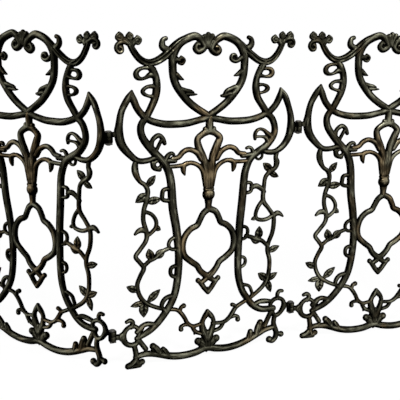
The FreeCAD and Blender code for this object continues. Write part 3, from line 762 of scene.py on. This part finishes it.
# The long bar
uprights.bar((-140, 548, .85), (-150, 531, .9), (-146, 508, .95), (-124, 479, 1.02),
             (-97, 449, 1.04), (-85, 415, 1.08), (-80, 355, 1.15), (-71.3, 303, 1.12),
             (-66, 245, 1.06), (-70, 185, 1.04), (-81, 145, 1), (-106, 108, .96), (-132, 84, .9),
             (-163, 69, .7))
# Hooks and a peg on its upper bend
uprights.bar((-127, 488, .55), (-125, 502, .55), (-113, 511, .6), (-103, 505, .55),
             (-98.5, 494, .5))
uprights.bar((-116, 481, .42), (-110, 493, .42), (-105, 502, .42))
uprights.bar((-98, 456, .7), (-93, 465, .65), (-88, 470.5, .52), (-82, 472, .45), (-78.5, 469, .4))
uprights.bar((-98, 458, .6), (-84, 456, .65), (-75, 455.5, .55))
# A small ring and its outer rim
uprights.ring(-113.5, 450.5, 8.2, .45)
uprights.bar((-125, 455, .6), (-122, 444, .6), (-110, 440, .6))
# Loops down its outer side, and the branch above the foot
uprights.bar((-84, 397, .5), (-100, 395.5, .52), (-104, 385, .56), (-102, 374, .52), (-84, 370, .5))
uprights.bar((-74, 290, .45), (-86, 283, .45), (-89.5, 272, .45), (-83, 263, .45), (-68, 262, .45))
uprights.bar((-68, 225, .5), (-82, 221.5, .5), (-85.5, 212, .5), (-82, 202.5, .5), (-70, 197, .5))
uprights.bar((-80, 157, .55), (-95, 153, .6), (-103.5, 144, .6), (-105.5, 133, .55), (-98, 122, .5))
uprights.bar((-163, 84, .6), (-155, 90, .9), (-148, 97, .66), (-137, 99, .66), (-118, 94, .55))
print(f"left upright drawn with {len(uprights.points)} points")

# %% Right upright and swag
# The long bar
uprights.bar((138, 546, .85), (152, 533, .88), (159, 512, .9), (155, 494, .95), (138, 474, 1),
             (118, 462, 1), (101, 449, 1), (91, 427, 1.02), (87, 405, 1.05), (83.5, 355, 1.12),
             (79, 303, 1.1), (77, 245, 1.04), (77, 205, 1.02), (80, 175, 1), (89, 145, .95),
             (102, 124, .95), (118, 104, .95), (140, 91, .9), (171, 88, .9))
# Hooks and a peg on its upper bend
uprights.bar((111, 491, .36), (110.5, 500, .46), (114, 508, .42), (122, 512.3, .36),
             (132, 509.5, .44), (141, 502, .6), (150, 496, .6))
uprights.bar((142, 486, .6), (136, 493, .5), (126, 495.5, .3), (112, 496, .34))
uprights.bar((108, 459, .55), (104, 469.5, .46), (97, 474, .38), (91, 472, .34))
uprights.bar((106, 458, .6), (90, 456.5, .65), (81, 456, .6))
# A small ring
uprights.ring(121.7, 454, 8.3, .3)
# Loops down its outer side, and the branch above the foot
uprights.bar((86, 396, .45), (103, 394, .45), (106, 385, .5), (102.5, 374, .45), (84, 372, .45))
uprights.bar((79, 298, .42), (95.5, 293, .42), (99.5, 282, .45), (94, 269, .42), (78, 266, .42))
uprights.bar((77, 227, .4), (91.5, 223, .4), (95.5, 214, .42), (91, 204, .4), (77, 200, .4))
uprights.bar((86, 160, .42), (105.5, 153, .42), (112, 142, .44), (114.5, 130, .42), (104, 120, .42))
uprights.bar((118, 104, .5), (134, 110, .64), (147, 109.5, .7), (162.5, 107, .55))
# The two halves of the swag
for side in (-1, 1):
    uprights.bar((-1 * side, 543, .95), (20, 539, .85), (48, 533.5, .9), (75, 532.5, .92),
                 (100, 534, .9), (123, 540, .85), (140, 548, .8), side=side)
print(f"uprights drawn with {len(uprights.points)} points")

# %% Necks and crescents
NECKS = {
    -1: [(131, 653, .8), (122, 640, .95), (116, 624, .9), (115.5, 606, 1), (119, 588, .95),
         (126.5, 571, .9), (134.5, 556, .88), (140, 547, .85)],
    1: [(129, 655, .8), (121, 643, .9), (112, 625, .82), (109.5, 610, .95), (110, 598, 1.02),
        (114, 582, .95), (123, 568, .9), (131, 557, .9), (138, 547, .85)],
}
LOOPS = [
    (-1, [(122, 645, .7), (134, 648.5, .5), (146, 648, .42), (155, 644, .55), (159, 637, .7),
          (156, 630, .65), (148, 627, .4), (139, 629, .4), (130, 634, .7), (122, 634, .8)]),
    (-1, [(118, 610, .7), (127, 611.5, .5), (136, 610.5, .42), (143, 606, .46), (145.5, 601.5, .5),
          (142, 596.5, .46), (135, 593, .36), (127, 591, .45), (120, 590, .7)]),
    (1, [(118, 640, .7), (126, 641.5, .45), (136, 642, .42), (144, 639.5, .6), (147.5, 633, .72),
         (144, 627, .62), (136, 624.8, .38), (127, 625.5, .38), (118, 628, .7)]),
    (1, [(110, 607, .7), (118, 608, .45), (128, 607.5, .36), (135.5, 604, .52), (138, 599.5, .64),
         (134.5, 595, .52), (127, 591.5, .34), (118, 590.5, .4), (112, 590, .7)]),
]
for side, neck in NECKS.items():
    uprights.bar(*neck, side=side)
for side, loop in LOOPS:
    uprights.bar(*loop, side=side)
# Each crescent is an outer and an inner bar that meet in a point
uprights.bar((-168, 604, .2), (-177, 588, .8), (-189.5, 565, .8), (-195, 540, .9),
             (-196, 515, 1.15), (-190, 495, 1.08), (-175, 476, .88), (-158, 462, .75),
             (-140, 460, .7), (-118, 465, .65))
uprights.bar((-168, 603, .25), (-165, 587, .85), (-157, 568, .85), (-146, 554, .85),
             (-138, 546, .82))
uprights.bar((170, 599, .2), (182, 581, .8), (192.5, 556, .78), (198, 535, .9), (199, 511, 1.12),
             (194, 491, 1.02), (182, 473, .88), (164, 461, .75), (145, 460, .7), (126, 466, .65))
uprights.bar((170, 598, .25), (169, 583, .85), (160, 565, .85), (149, 553, .85), (138, 544, .82))
# Thicker metal behind the upper hinges
uprights.bar((-194, 547, .55), (-202, 520, .52), (-191.5, 491, .55))
uprights.bar((195, 542, .55), (203, 514, .45), (192.5, 486, .55))
skins["uprights"] = cast("uprights", uprights, polish=0.02)

# %% [markdown]
# ## The palmette and the four-lobed ring
# A bundle of stems opens into a spray of arching leaves that hangs from the swag. A knob ties the
# bundle and stands on a ring of four lobes with a small pierced pendant. Each stem is a bar of its
# own, so the flutes between them come by themselves and none has to be cut.

# %% Palmette
STEM = 2.5
palmette = Drawing(STEM)
# The tie to the swag and its collar
palmette.bar((0, 543, 1), (0, 515, 1.05))
palmette.bar((-10, 519, .6), (10, 519, .6))
# The bundle, the neck under the knob, the middle stem, the collar and the knob
palmette.bar((0, 432, 1.5), (0, 424, 1.9), (0, 408, 1.7), (0, 390, 1.45), depth=.75)
palmette.bar((0, 376, 1), (0, 366, 1.1), (0, 355, .88), (0, 346, .88))
palmette.bar((0, 448, .2), (0, 425, .42), (0, 405, .42), (0, 390, .36), depth=1.35)
palmette.bar((-8, 388.5, .5), (8, 388.5, .5), depth=1.4)
palmette.ball(0, 377, 1.72, depth=1.5)
LIMBS = {
    -1: [(0, 516, 1.1), (15, 509, .85), (27, 498, .85), (24, 480, 1), (16, 463, 1), (9.5, 445, 1),
         (7, 425, .95), (5.5, 405, .85), (4.5, 388, .75)],
    1: [(0, 516, 1.1), (14, 509, .82), (24, 499, .9), (20, 487, 1.05), (15, 475, 1.1),
        (9.5, 461, 1.1), (7, 445, 1), (6.5, 425, .95), (5.5, 405, .85), (4.5, 388, .75)],
}
for side, limb in LIMBS.items():
    palmette.bar(*limb, side=side)
    palmette.bar((18, 455, .75), (29, 470, .7), (46, 477.5, .65), (60, 473, .68), (70, 463, .65),
                 (84, 460, .62), side=side)
    palmette.bar((9.5, 396, .4), (11.5, 414, .55), (15, 431, .65), (26, 443, .58), (42, 449, .55),
                 (56, 445.5, .54), (74, 444, .5), (96, 444, .52), side=side)
    palmette.bar((50, 449, .55), (57, 445, .7), (59, 439, .72), (58.3, 431, .58), (56, 424.5, .22),
                 side=side)
skins["palmette"] = cast("palmette", palmette, polish=0.06)

# %% Four-lobed ring and pendant
RING_AXIS = 4
four_lobes = Drawing(RING_AXIS)
LOBES = {
    -1: [(0, 345, .85), (13, 336, .8), (22, 320, .78), (28, 310, .8), (43, 303, .82),
         (56, 288, .84), (62, 266, .92), (57, 245, .84), (42, 230, .82), (27, 218, .8),
         (20, 206, .8), (10, 196, .85), (0, 190, .95)],
    1: [(0, 345, .85), (15.5, 337, .82), (24, 322, .8), (29, 311.5, .8), (43, 304, .82),
        (56, 289, .84), (62, 266, .92), (57, 245, .84), (42, 231, .82), (27, 221, .8),
        (20, 209, .8), (10, 197, .85), (0, 190, .95)],
}
four_lobes.leaf((0, 166), (0, 146.5), .8)
for side, lobes in LOBES.items():
    four_lobes.bar(*lobes, side=side)
    four_lobes.bar((0, 191, .95), (9, 182, .72), (17, 177, .6), side=side)
    four_lobes.bar((24, 184, .6), (16, 174, .66), (8.5, 163, .66), (0, 152, .56), side=side)
    four_lobes.ball(24, 183, .7, side=side)
skins["four_lobes"] = cast("four_lobes", four_lobes, polish=0.03)

# %% [markdown]
# ## The vines
# A leafy vine winds down each side of the panel. The two are not mirror images, so each is drawn by
# itself. Modelling every leaf would be slow, so all of them are the one blank, stretched and turned.

# %% Left vine
vines = Drawing()
vines.vine((-161, 462, 1.2), (-163.5, 447, 1.75), (-161, 433, 1.65), (-153, 418, 1.1),
           (-142, 409, 1.15), (-136, 396, 1.25), (-139, 375, 1.25), (-145, 355, 1.15),
           (-146, 332, 1.15), (-139, 305, 1.25), (-141, 288, 1.15), (-154, 270, 1.1),
           (-164, 256, 1.1), (-155, 242, 1.1), (-146, 228, 1.25), (-154, 211, 1.15),
           (-161, 192, 1.15), (-157, 170, 1.15), (-145, 151, 1.15), (-125, 138, 1.05),
           (-107, 130, 1.05))
vines.vine((-145, 353, .95), (-128, 345, .95), (-118, 330, 1), (-119, 315, 1), (-130, 304, 1),
           (-139, 299, 1))
vines.vine((-140, 309, 1), (-150, 313, 1.45), (-158, 311, 1.2), (-165, 305, .5))
vines.vine((-147, 231, 1.05), (-134, 242, 1.05), (-120, 248, 1.05), (-104, 260, 1.05),
           (-88, 266, 1.05))
LEFT_LEAVES = [
    ((-139, 404), (-118, 429), .45), ((-136, 391), (-164, 373), .55),
    ((-141, 372), (-104, 377), .44), ((-122, 318), (-107, 308), .66),
    ((-129, 242), (-135, 271), .62), ((-121, 246), (-97, 266), .58),
    ((-158, 177), (-186, 192), .48), ((-140, 148), (-108, 176), .38),
    ((-145, 151), (-178, 145), .36), ((-147, 152), (-147, 114.5), .56),
]
for stalk, tip, plump in LEFT_LEAVES:
    vines.leaf(stalk, tip, plump)
print(f"left vine has {len(LEFT_LEAVES)} leaves")

# %% Right vine
vines.vine((167, 463, 1.4), (164, 447, 1.25), (167, 436, 1.7), (163.5, 424, 1.35), (150, 415, 1.25),
           (140, 404, 1.1), (137, 385, 1.1), (136, 352, 1.3), (150, 332, 1.1), (163, 313, 1.2),
           (165, 295, 1.25), (162, 273, 1.2), (153, 250, 1.15), (151, 233, 1.2), (157, 210, 1.2),
           (157, 185, 1.2), (152, 162, 1.25), (138, 143, 1.15), (113, 125, 1.05))
vines.vine((136, 353, 1.1), (124, 338, 1), (118, 321, 1), (122, 310, 1), (136, 306, 1.05),
           (150, 308, 1.05), (163, 315, 1.05))
vines.vine((162, 312, 1.05), (172, 318, 1.5), (180, 316, 1.15), (187, 310, .5))
vines.vine((138, 371, 1.05), (127, 381, 1.3), (116, 386, 1.4), (105, 382, 1.05))
vines.vine((151, 243, 1.05), (136, 257, 1.15), (122, 262, 1.35), (108, 269, 1.15), (95, 273, 1.05))
RIGHT_LEAVES = [
    ((157, 416), (132, 437), .52), ((148, 414), (174, 402), .45), ((122, 314), (106, 309), .5),
    ((127, 259), (129, 293), .56), ((134, 256), (106, 266), .62), ((150, 229), (183, 240), .42),
    ((155, 160), (128, 181), .52), ((150, 160), (180, 176), .42), ((151, 164), (164, 128), .4),
]
for stalk, tip, plump in RIGHT_LEAVES:
    vines.leaf(stalk, tip, plump)
skins["vines"] = cast("vines", vines, polish=0.025)

# %% [markdown]
# ## The base
# A sagging rail with leaves joins two feet. A ring above each foot carries the lower hinge, and a
# pierced fleuron with two budding branches stands on the middle of the rail. A mirrored half would
# be quicker, but the two corners differ as much as the vines do, so both are drawn.

# %% Corners and feet
base = Drawing()
# Left: the ring, the metal behind the hinge and the hook
base.bar((-194, 77, .85), (-189, 91, .6), (-178, 99, .58), (-166, 97, .56), (-158, 86, .58),
         (-160, 71, .66), (-164, 58, .66), (-176, 55.5, .66), (-188, 62, .7), closed=True)
base.bar((-190, 88, .4), (-201, 79, .62), (-190, 65, .4))
base.bar((-176, 98, .65), (-172, 107, .62), (-178, 113.5, .56), (-186, 111, .44))
# The leg, the toes and the strut to the rail
base.bar((-170, 56, .7), (-167, 42, .7), (-165, 29, .76), (-165.5, 18, .82))
base.bar((-165, 20, .75), (-175, 10, .85), (-184, 6.8, .82))
base.bar((-165, 20, .75), (-161, 9, .8), (-152.5, 11, .68))
base.bar((-182, 6.2, .72), (-170, 5.6, .72), (-158, 5.8, .72))
base.ball(-152, 12, .84)
base.bar((-160, 66, .7), (-151, 53, .66), (-143, 41, .66))
# Right: the ring, the metal behind the hinge and the hook
base.bar((199.5, 90, .75), (196.5, 104, .58), (185, 111, .56), (172, 109, .56), (164, 99, .56),
         (168, 86, .66), (172, 74, .62), (180, 69, .62), (191, 75, .62), closed=True)
base.bar((196, 102, .4), (202.5, 90, .6), (193, 76, .4))
base.bar((183, 111, .55), (181.5, 121, .54), (186, 128.5, .5), (194, 128, .44))
# The leg, the toes and the strut to the rail
base.bar((176, 69, .66), (174, 52, .7), (177, 39, .78), (181.5, 27, .78), (180.5, 14, .76),
         (172, 6, .74), (164, 9.5, .7))
base.ball(164, 10.5, .96)
base.bar((183, 24, .55), (195, 19, .55))
base.ball(195, 19, .85)
base.bar((166, 80, .68), (158.5, 65, .68), (150, 47, .68))
print(f"corners drawn with {len(base.points)} points")

# %% Rail and its leaves
base.bar((-166, 25.5, .78), (-148, 29, .78), (-128, 27, .85), (-108, 21.5, .95), (-88, 14.5, .98),
         (-68, 10.5, 1), (-48, 9.5, 1), (-25, 11.5, 1), (2, 18.5, 1), (25, 13, 1), (46, 9.7, 1),
         (66, 9.7, 1), (90, 13.8, .98), (112, 21.4, .95), (134, 30.5, .88), (152, 37.5, .78),
         (174, 41, .72))
for rail_leaf in (
    [(-112, 25, 1), (-119.5, 35, 1.15), (-126.5, 44.5, .88)],
    [(-93, 19, .8), (-98.5, 27, .85), (-102.5, 33.5, .64)],
    [(130, 30, 1), (135, 45, 1.22), (138.5, 57.5, .9)],
    [(110, 20, .9), (113, 30.5, 1), (113.5, 38.5, .78)],
):
    base.bar(*rail_leaf, ridges=2, groove=.18)
print(f"rail drawn with {len(base.points)} points")

# %% Fleuron
FLEURON = 4
base.axis = FLEURON
# The two sides of the pierced drop
base.bar((-1, 108, .4), (-5.3, 97, .75), (-10.2, 89, .62), (-13.4, 77, .8), (-9, 58, 1.1),
         (-2, 40, 1.1))
base.bar((0, 108, .4), (6.5, 97, .75), (12.6, 89, .6), (14.8, 77, .62), (10, 58, .9), (2, 40, 1.1))
# The ridged stem, the leaf that hangs from it and the two petals
base.bar((0, 57, .6), (0, 38, 1.4), (0, 20, .8), ridges=5, groove=.2)
base.leaf((0, 32), (-2, 6), .6)
for across in (-22.5, 22):
    base.bar((0, 20, 1.1), (across * .5, 31, 1.4), (across, 38, 1), depth=.75)
    base.ball(across, 37.5, 1.05)
base.axis = 0
print(f"fleuron drawn with {len(base.points)} points")

# %% Budding branches
# Left: the branch, its tie to the fleuron, a leaf and two buds
base.bar((-90, 126, .55), (-72, 122, .5), (-61, 113, .55), (-52, 100, .56), (-44, 85, .55),
         (-30, 76, .5), (-8, 80, .45))
base.bar((-32, 74, .6), (-25, 62, .55), (-9, 54, .5))
base.leaf((-24, 66), (-29, 54), .5)
base.bar((-63, 116, .5), (-60, 126, .48), (-54, 129, .42))
base.ball(-54, 128.5, .66)
base.bar((-42, 82, .5), (-52, 83, .46), (-61, 79, .44), (-61, 73, .42))
base.ball(-60, 73.5, .66)
# Right: the branch, its tie to the fleuron and two buds
base.bar((104, 121, .55), (86, 112, .5), (74, 105, .58), (65, 92, .62), (56, 81, .58), (42, 74, .5),
         (16, 76, .45))
base.bar((44, 74, .5), (35, 61, .5), (16, 56, .5))
base.bar((75, 105, .5), (69, 112, .46), (64, 113.5, .42))
base.ball(65, 113, .55)
base.bar((58, 83, .55), (72, 85, .5), (81, 80, .46), (80, 74, .44))
base.ball(80, 75, .7)
skins["base"] = cast("base", base, polish=0.025)

# %% [markdown]
# ## Three panels on their hinges
# The frame's joints say where the hinge axes are, and the middle of each joint's range is the panel
# laid in line with the centre one, so the fold that the screen stands at is read from there. Each
# skin is copied to the three panels with its place in the mesh, so the noise in the finish differs
# from panel to panel.

# %% Where the panels stand
STANDING = Matrix(((1, 0, 0, 0), (0, 0, -1, 0), (0, 1, 0, 0), (0, 0, 0, 1)))
hinges = {joint["name"].split("_")[0]: joint for joint in frame["joints"]}


def axis_of(hinge):
    """Where a hinge axis meets the floor."""
    x, y = hinge["pos_m"][:2]
    return Vector((x, y, 0))


def folded(hinge):
    """The turn from the panel in line with its neighbour to the panel as it stands."""
    low, high = hinge["range_deg"]
    return Matrix.Rotation(-math.radians(low + high) / 2, 4, "Z")


left_axis, right_axis = axis_of(hinges["left"]), axis_of(hinges["right"])
half_pitch = Vector(((right_axis - left_axis).length / 2, 0, 0))
shift = Matrix.Translation
PANELS = {
    "left": shift(left_axis) @ folded(hinges["left"]) @ shift(-half_pitch),
    "centre": shift((left_axis + right_axis) / 2),
    "right": shift(right_axis) @ folded(hinges["right"]) @ shift(half_pitch),
}
for panel, place in PANELS.items():
    print(f"{panel} panel stands at", [round(value, 3) for value in place.translation])

# %% Place the castings
STOOD_FOR = {
    "crest": ["heart_left", "heart_right", "horn_left", "horn_right"],
    "uprights": ["stile_left", "stile_right", "swag", "crescent_left", "crescent_right"],
    "palmette": ["spray"],
    "four_lobes": ["quatrefoil"],
    "vines": ["vine_left", "vine_right"],
    "base": ["base_rail", "corner_left", "corner_right"],
}


def add_piece(name, mesh, panel, nodes):
    """A finished mesh as a piece of one panel, in place of the frame's nodes."""
    piece = linked(name, mesh)
    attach(piece, f"{panel}_panel")
    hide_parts(*nodes)


for panel, place in PANELS.items():
    for part, skin in skins.items():
        mesh = skin.copy()
        mesh.transform(place @ STANDING)
        add_piece(f"{panel}_{part}", mesh, panel, [f"{panel}_{node}" for node in STOOD_FOR[part]])
print(f"{len(skins)} castings on each of {len(PANELS)} panels")

# %% [markdown]
# ## Hinges
# Each hinge is two bored eyes on a pin with a domed head and a square nut. The frame already has
# them at their real size, but with razor edges. A copy of the eyes with their corners rounded catches
# the light as worn iron does. Pins and nuts stay the frame's own and only get their steel.

# %% Hinge eyes
EYE_ROUNDING = 0.0012
ROUNDING_STEPS = 3
SHARP_ANGLE = math.radians(40)
FLAT_ANGLE = math.radians(1)
WELD = 0.00001
EYES = {
    "left": ["upper_right_eye", "lower_right_eye"],
    "centre": ["upper_left_eye", "upper_right_eye", "lower_left_eye", "lower_right_eye"],
    "right": ["upper_left_eye", "lower_left_eye"],
}


def rounded_copy(name, nodes):
    """The frame's nodes joined in one mesh, with their corners rounded."""
    mesh = bmesh.new()
    for node in nodes:
        mesh.from_mesh(frame["nodes"][node].data)
    bmesh.ops.remove_doubles(mesh, verts=mesh.verts, dist=WELD)
    bmesh.ops.dissolve_limit(mesh, angle_limit=FLAT_ANGLE, verts=mesh.verts, edges=mesh.edges)
    made = bpy.data.meshes.new(name)
    mesh.to_mesh(made)
    mesh.free()
    maker = linked(name, made)
    bevel = maker.modifiers.new("round", "BEVEL")
    bevel.width = EYE_ROUNDING
    bevel.segments = ROUNDING_STEPS
    bevel.limit_method = "ANGLE"
    bevel.angle_limit = SHARP_ANGLE
    rounded = plain_mesh(maker)
    rounded.shade_smooth()
    rounded.materials.clear()
    return rounded


def wipe_and_light_front(mesh):
    """Note how squarely each point of a standing mesh faces the cloth and the painted light."""
    wiped = mesh.attributes.new("wiped", "FLOAT", "POINT")
    for vertex, item in zip(mesh.vertices, wiped.data):
        # Front and a little above, as on the castings: rubbed bronze and painted light
        item.value = abs(vertex.normal.y) * WIPE_AND_LIGHT.z + vertex.normal.z * WIPE_AND_LIGHT.y


for panel, eyes in EYES.items():
    nodes = [f"{panel}_{eye}" for eye in eyes]
    mesh = rounded_copy(f"{panel}_hinge_eyes", nodes)
    mesh.materials.append(iron)
    wipe_and_light_front(mesh)
    add_piece(f"{panel}_hinge_eyes", mesh, panel, nodes)
    print(f"{panel} panel has {len(nodes)} hinge eyes")

# %% Pins and nuts
STEEL = (0.016, 0.015, 0.013, 1)
WORN_STEEL = (0.06, 0.052, 0.04, 1)
SCRATCH_DEPTH = 0.0004


def dark_steel():
    """Oiled steel, a little worn and dusty."""
    material = bpy.data.materials.new("dark_steel")
    graph = empty_graph(material)
    place = graph.add("ShaderNodeTexCoord", out="Object")
    wear = noise(graph, place, STREAK_SCALE, 4)
    worn = wear.span(-0.05, 0.2)
    scratches = {"Height": wear, "Strength": 0.25, "Distance": SCRATCH_DEPTH}
    surface = {
        "Base Color": graph.mix(worn, STEEL, WORN_STEEL),
        "Metallic": 0.4 + worn * 0.4,
        "Roughness": 0.5 - worn * 0.12,
        "Specular IOR Level": 0.35,
        "Normal": graph.add("ShaderNodeBump", {}, scratches),
    }
    shader = graph.add("ShaderNodeBsdfPrincipled", {}, surface)
    graph.add("ShaderNodeOutputMaterial", {}, {"Surface": shader})
    return material


steel = dark_steel()
for hinge in ("left", "right"):
    for fastener in ("pins", "nuts"):
        node = frame["nodes"][f"{hinge}_hinge_{fastener}"]
        node.data.materials.clear()
        node.data.materials.append(steel)
print("pins and nuts in", steel.name)

# %% [markdown]
# ## Floor, light and camera
# The screen stands on a white studio floor. The floor and the sky are white to the camera and to
# reflections, so the white costs the iron no extra light, and part of the floor's own shading is
# kept for the shadow.

# %% Floor and sky
FLOOR_SPAN = 6
FLOOR_GLOW = 0.92
SHADOW_FADE = (0.6, 1.8)
SKY_LEVEL = 0.12
WHITE = (1, 1, 1, 1)
PAPER = (0.6, 0.6, 0.6, 1)
GLOW_STRENGTH = 1.03


def seen_directly(graph):
    """One for rays from the camera and from gloss or glass, else zero."""
    path = graph.add("ShaderNodeLightPath", out="Is Camera Ray")
    shown = graph.math("MAXIMUM", path, path.beside("Is Glossy Ray"))
    return graph.math("MAXIMUM", shown, path.beside("Is Transmission Ray"))


def white_floor():
    """Pale paper that is nearly white to the camera and still takes a shadow."""
    material = bpy.data.materials.new("white_floor")
    graph = empty_graph(material)
    paper = graph.add("ShaderNodeBsdfDiffuse", {}, {"Color": PAPER})
    glow = graph.add("ShaderNodeEmission", {}, {"Color": WHITE, "Strength": GLOW_STRENGTH})
    place = graph.add("ShaderNodeTexCoord", out="Object")
    distance = graph.vector("LENGTH", place, out="Value")
    far = distance.span(*SHADOW_FADE)
    share = seen_directly(graph) * (FLOOR_GLOW + (1 - FLOOR_GLOW) * far)
    surface = graph.add("ShaderNodeMixShader", {}, {0: share, 1: paper, 2: glow})
    graph.add("ShaderNodeOutputMaterial", {}, {"Surface": surface})
    return material


def studio_sky():
    """White to the camera and to reflections, and a plain grey light elsewhere."""
    world = bpy.data.worlds.new("studio")
    bpy.context.scene.world = world
    graph = empty_graph(world)
    strength = SKY_LEVEL + seen_directly(graph) * (1 - SKY_LEVEL)
    sky = graph.add("ShaderNodeBackground", {}, {"Color": WHITE, "Strength": strength})
    graph.add("ShaderNodeOutputWorld", {}, {"Surface": sky})


corners = [(x * FLOOR_SPAN, y * FLOOR_SPAN, 0) for x, y in ((-1, -1), (1, -1), (1, 1), (-1, 1))]
floor_mesh = bpy.data.meshes.new("floor")
floor_mesh.from_pydata(corners, [], [(0, 1, 2, 3)])
floor_mesh.materials.append(white_floor())
floor = linked("floor", floor_mesh)
studio_sky()
bpy.context.scene.view_settings.view_transform = "Standard"
print("white floor and sky")

# %% Lamps
MIDDLE = Vector((0, -0.05, 0.36))
LAMPS = {
    "key": ((-0.5, -2.0, 2.6), 0.7, 120),
    "fill": ((2.0, -1.6, 1.2), 1.2, 14),
    "top": ((0.2, 0.3, 2.6), 1.2, 30),
}
for name, (place, span, power) in LAMPS.items():
    lamp = bpy.data.lights.new(name, "AREA")
    lamp.size = span
    lamp.energy = power
    holder = linked(name, lamp)
    holder.location = place
    holder.rotation_euler = (MIDDLE - Vector(place)).to_track_quat("-Z", "Y").to_euler()
print(f"{len(LAMPS)} soft lamps")

# %% [markdown]
# ## Camera
# The photograph was taken from the left, a little above the screen's top, looking down by about 14
# degrees. The camera's place and turn were worked out from the hinges and the panels' corners.

# %% Camera
LENS = 67.03
STAND = Vector((-0.7226, -1.5605, 0.7619))
HEADING, PITCH, ROLL = (math.radians(angle) for angle in (23.48, 14.34, 0.63))

east, north = math.sin(HEADING), math.cos(HEADING)
forward = Vector((east * math.cos(PITCH), north * math.cos(PITCH), -math.sin(PITCH)))
level_right = Vector((north, -east, 0))
level_up = level_right.cross(forward)
right = level_right * math.cos(ROLL) + level_up * math.sin(ROLL)
up = level_up * math.cos(ROLL) - level_right * math.sin(ROLL)
camera_data = bpy.data.cameras.new("camera")
camera_data.lens = LENS
camera = linked("camera", camera_data)
camera.matrix_world = shift(STAND) @ Matrix((right, up, -forward)).transposed().to_4x4()
bpy.context.scene.camera = camera
print("camera at", [round(value, 3) for value in STAND])
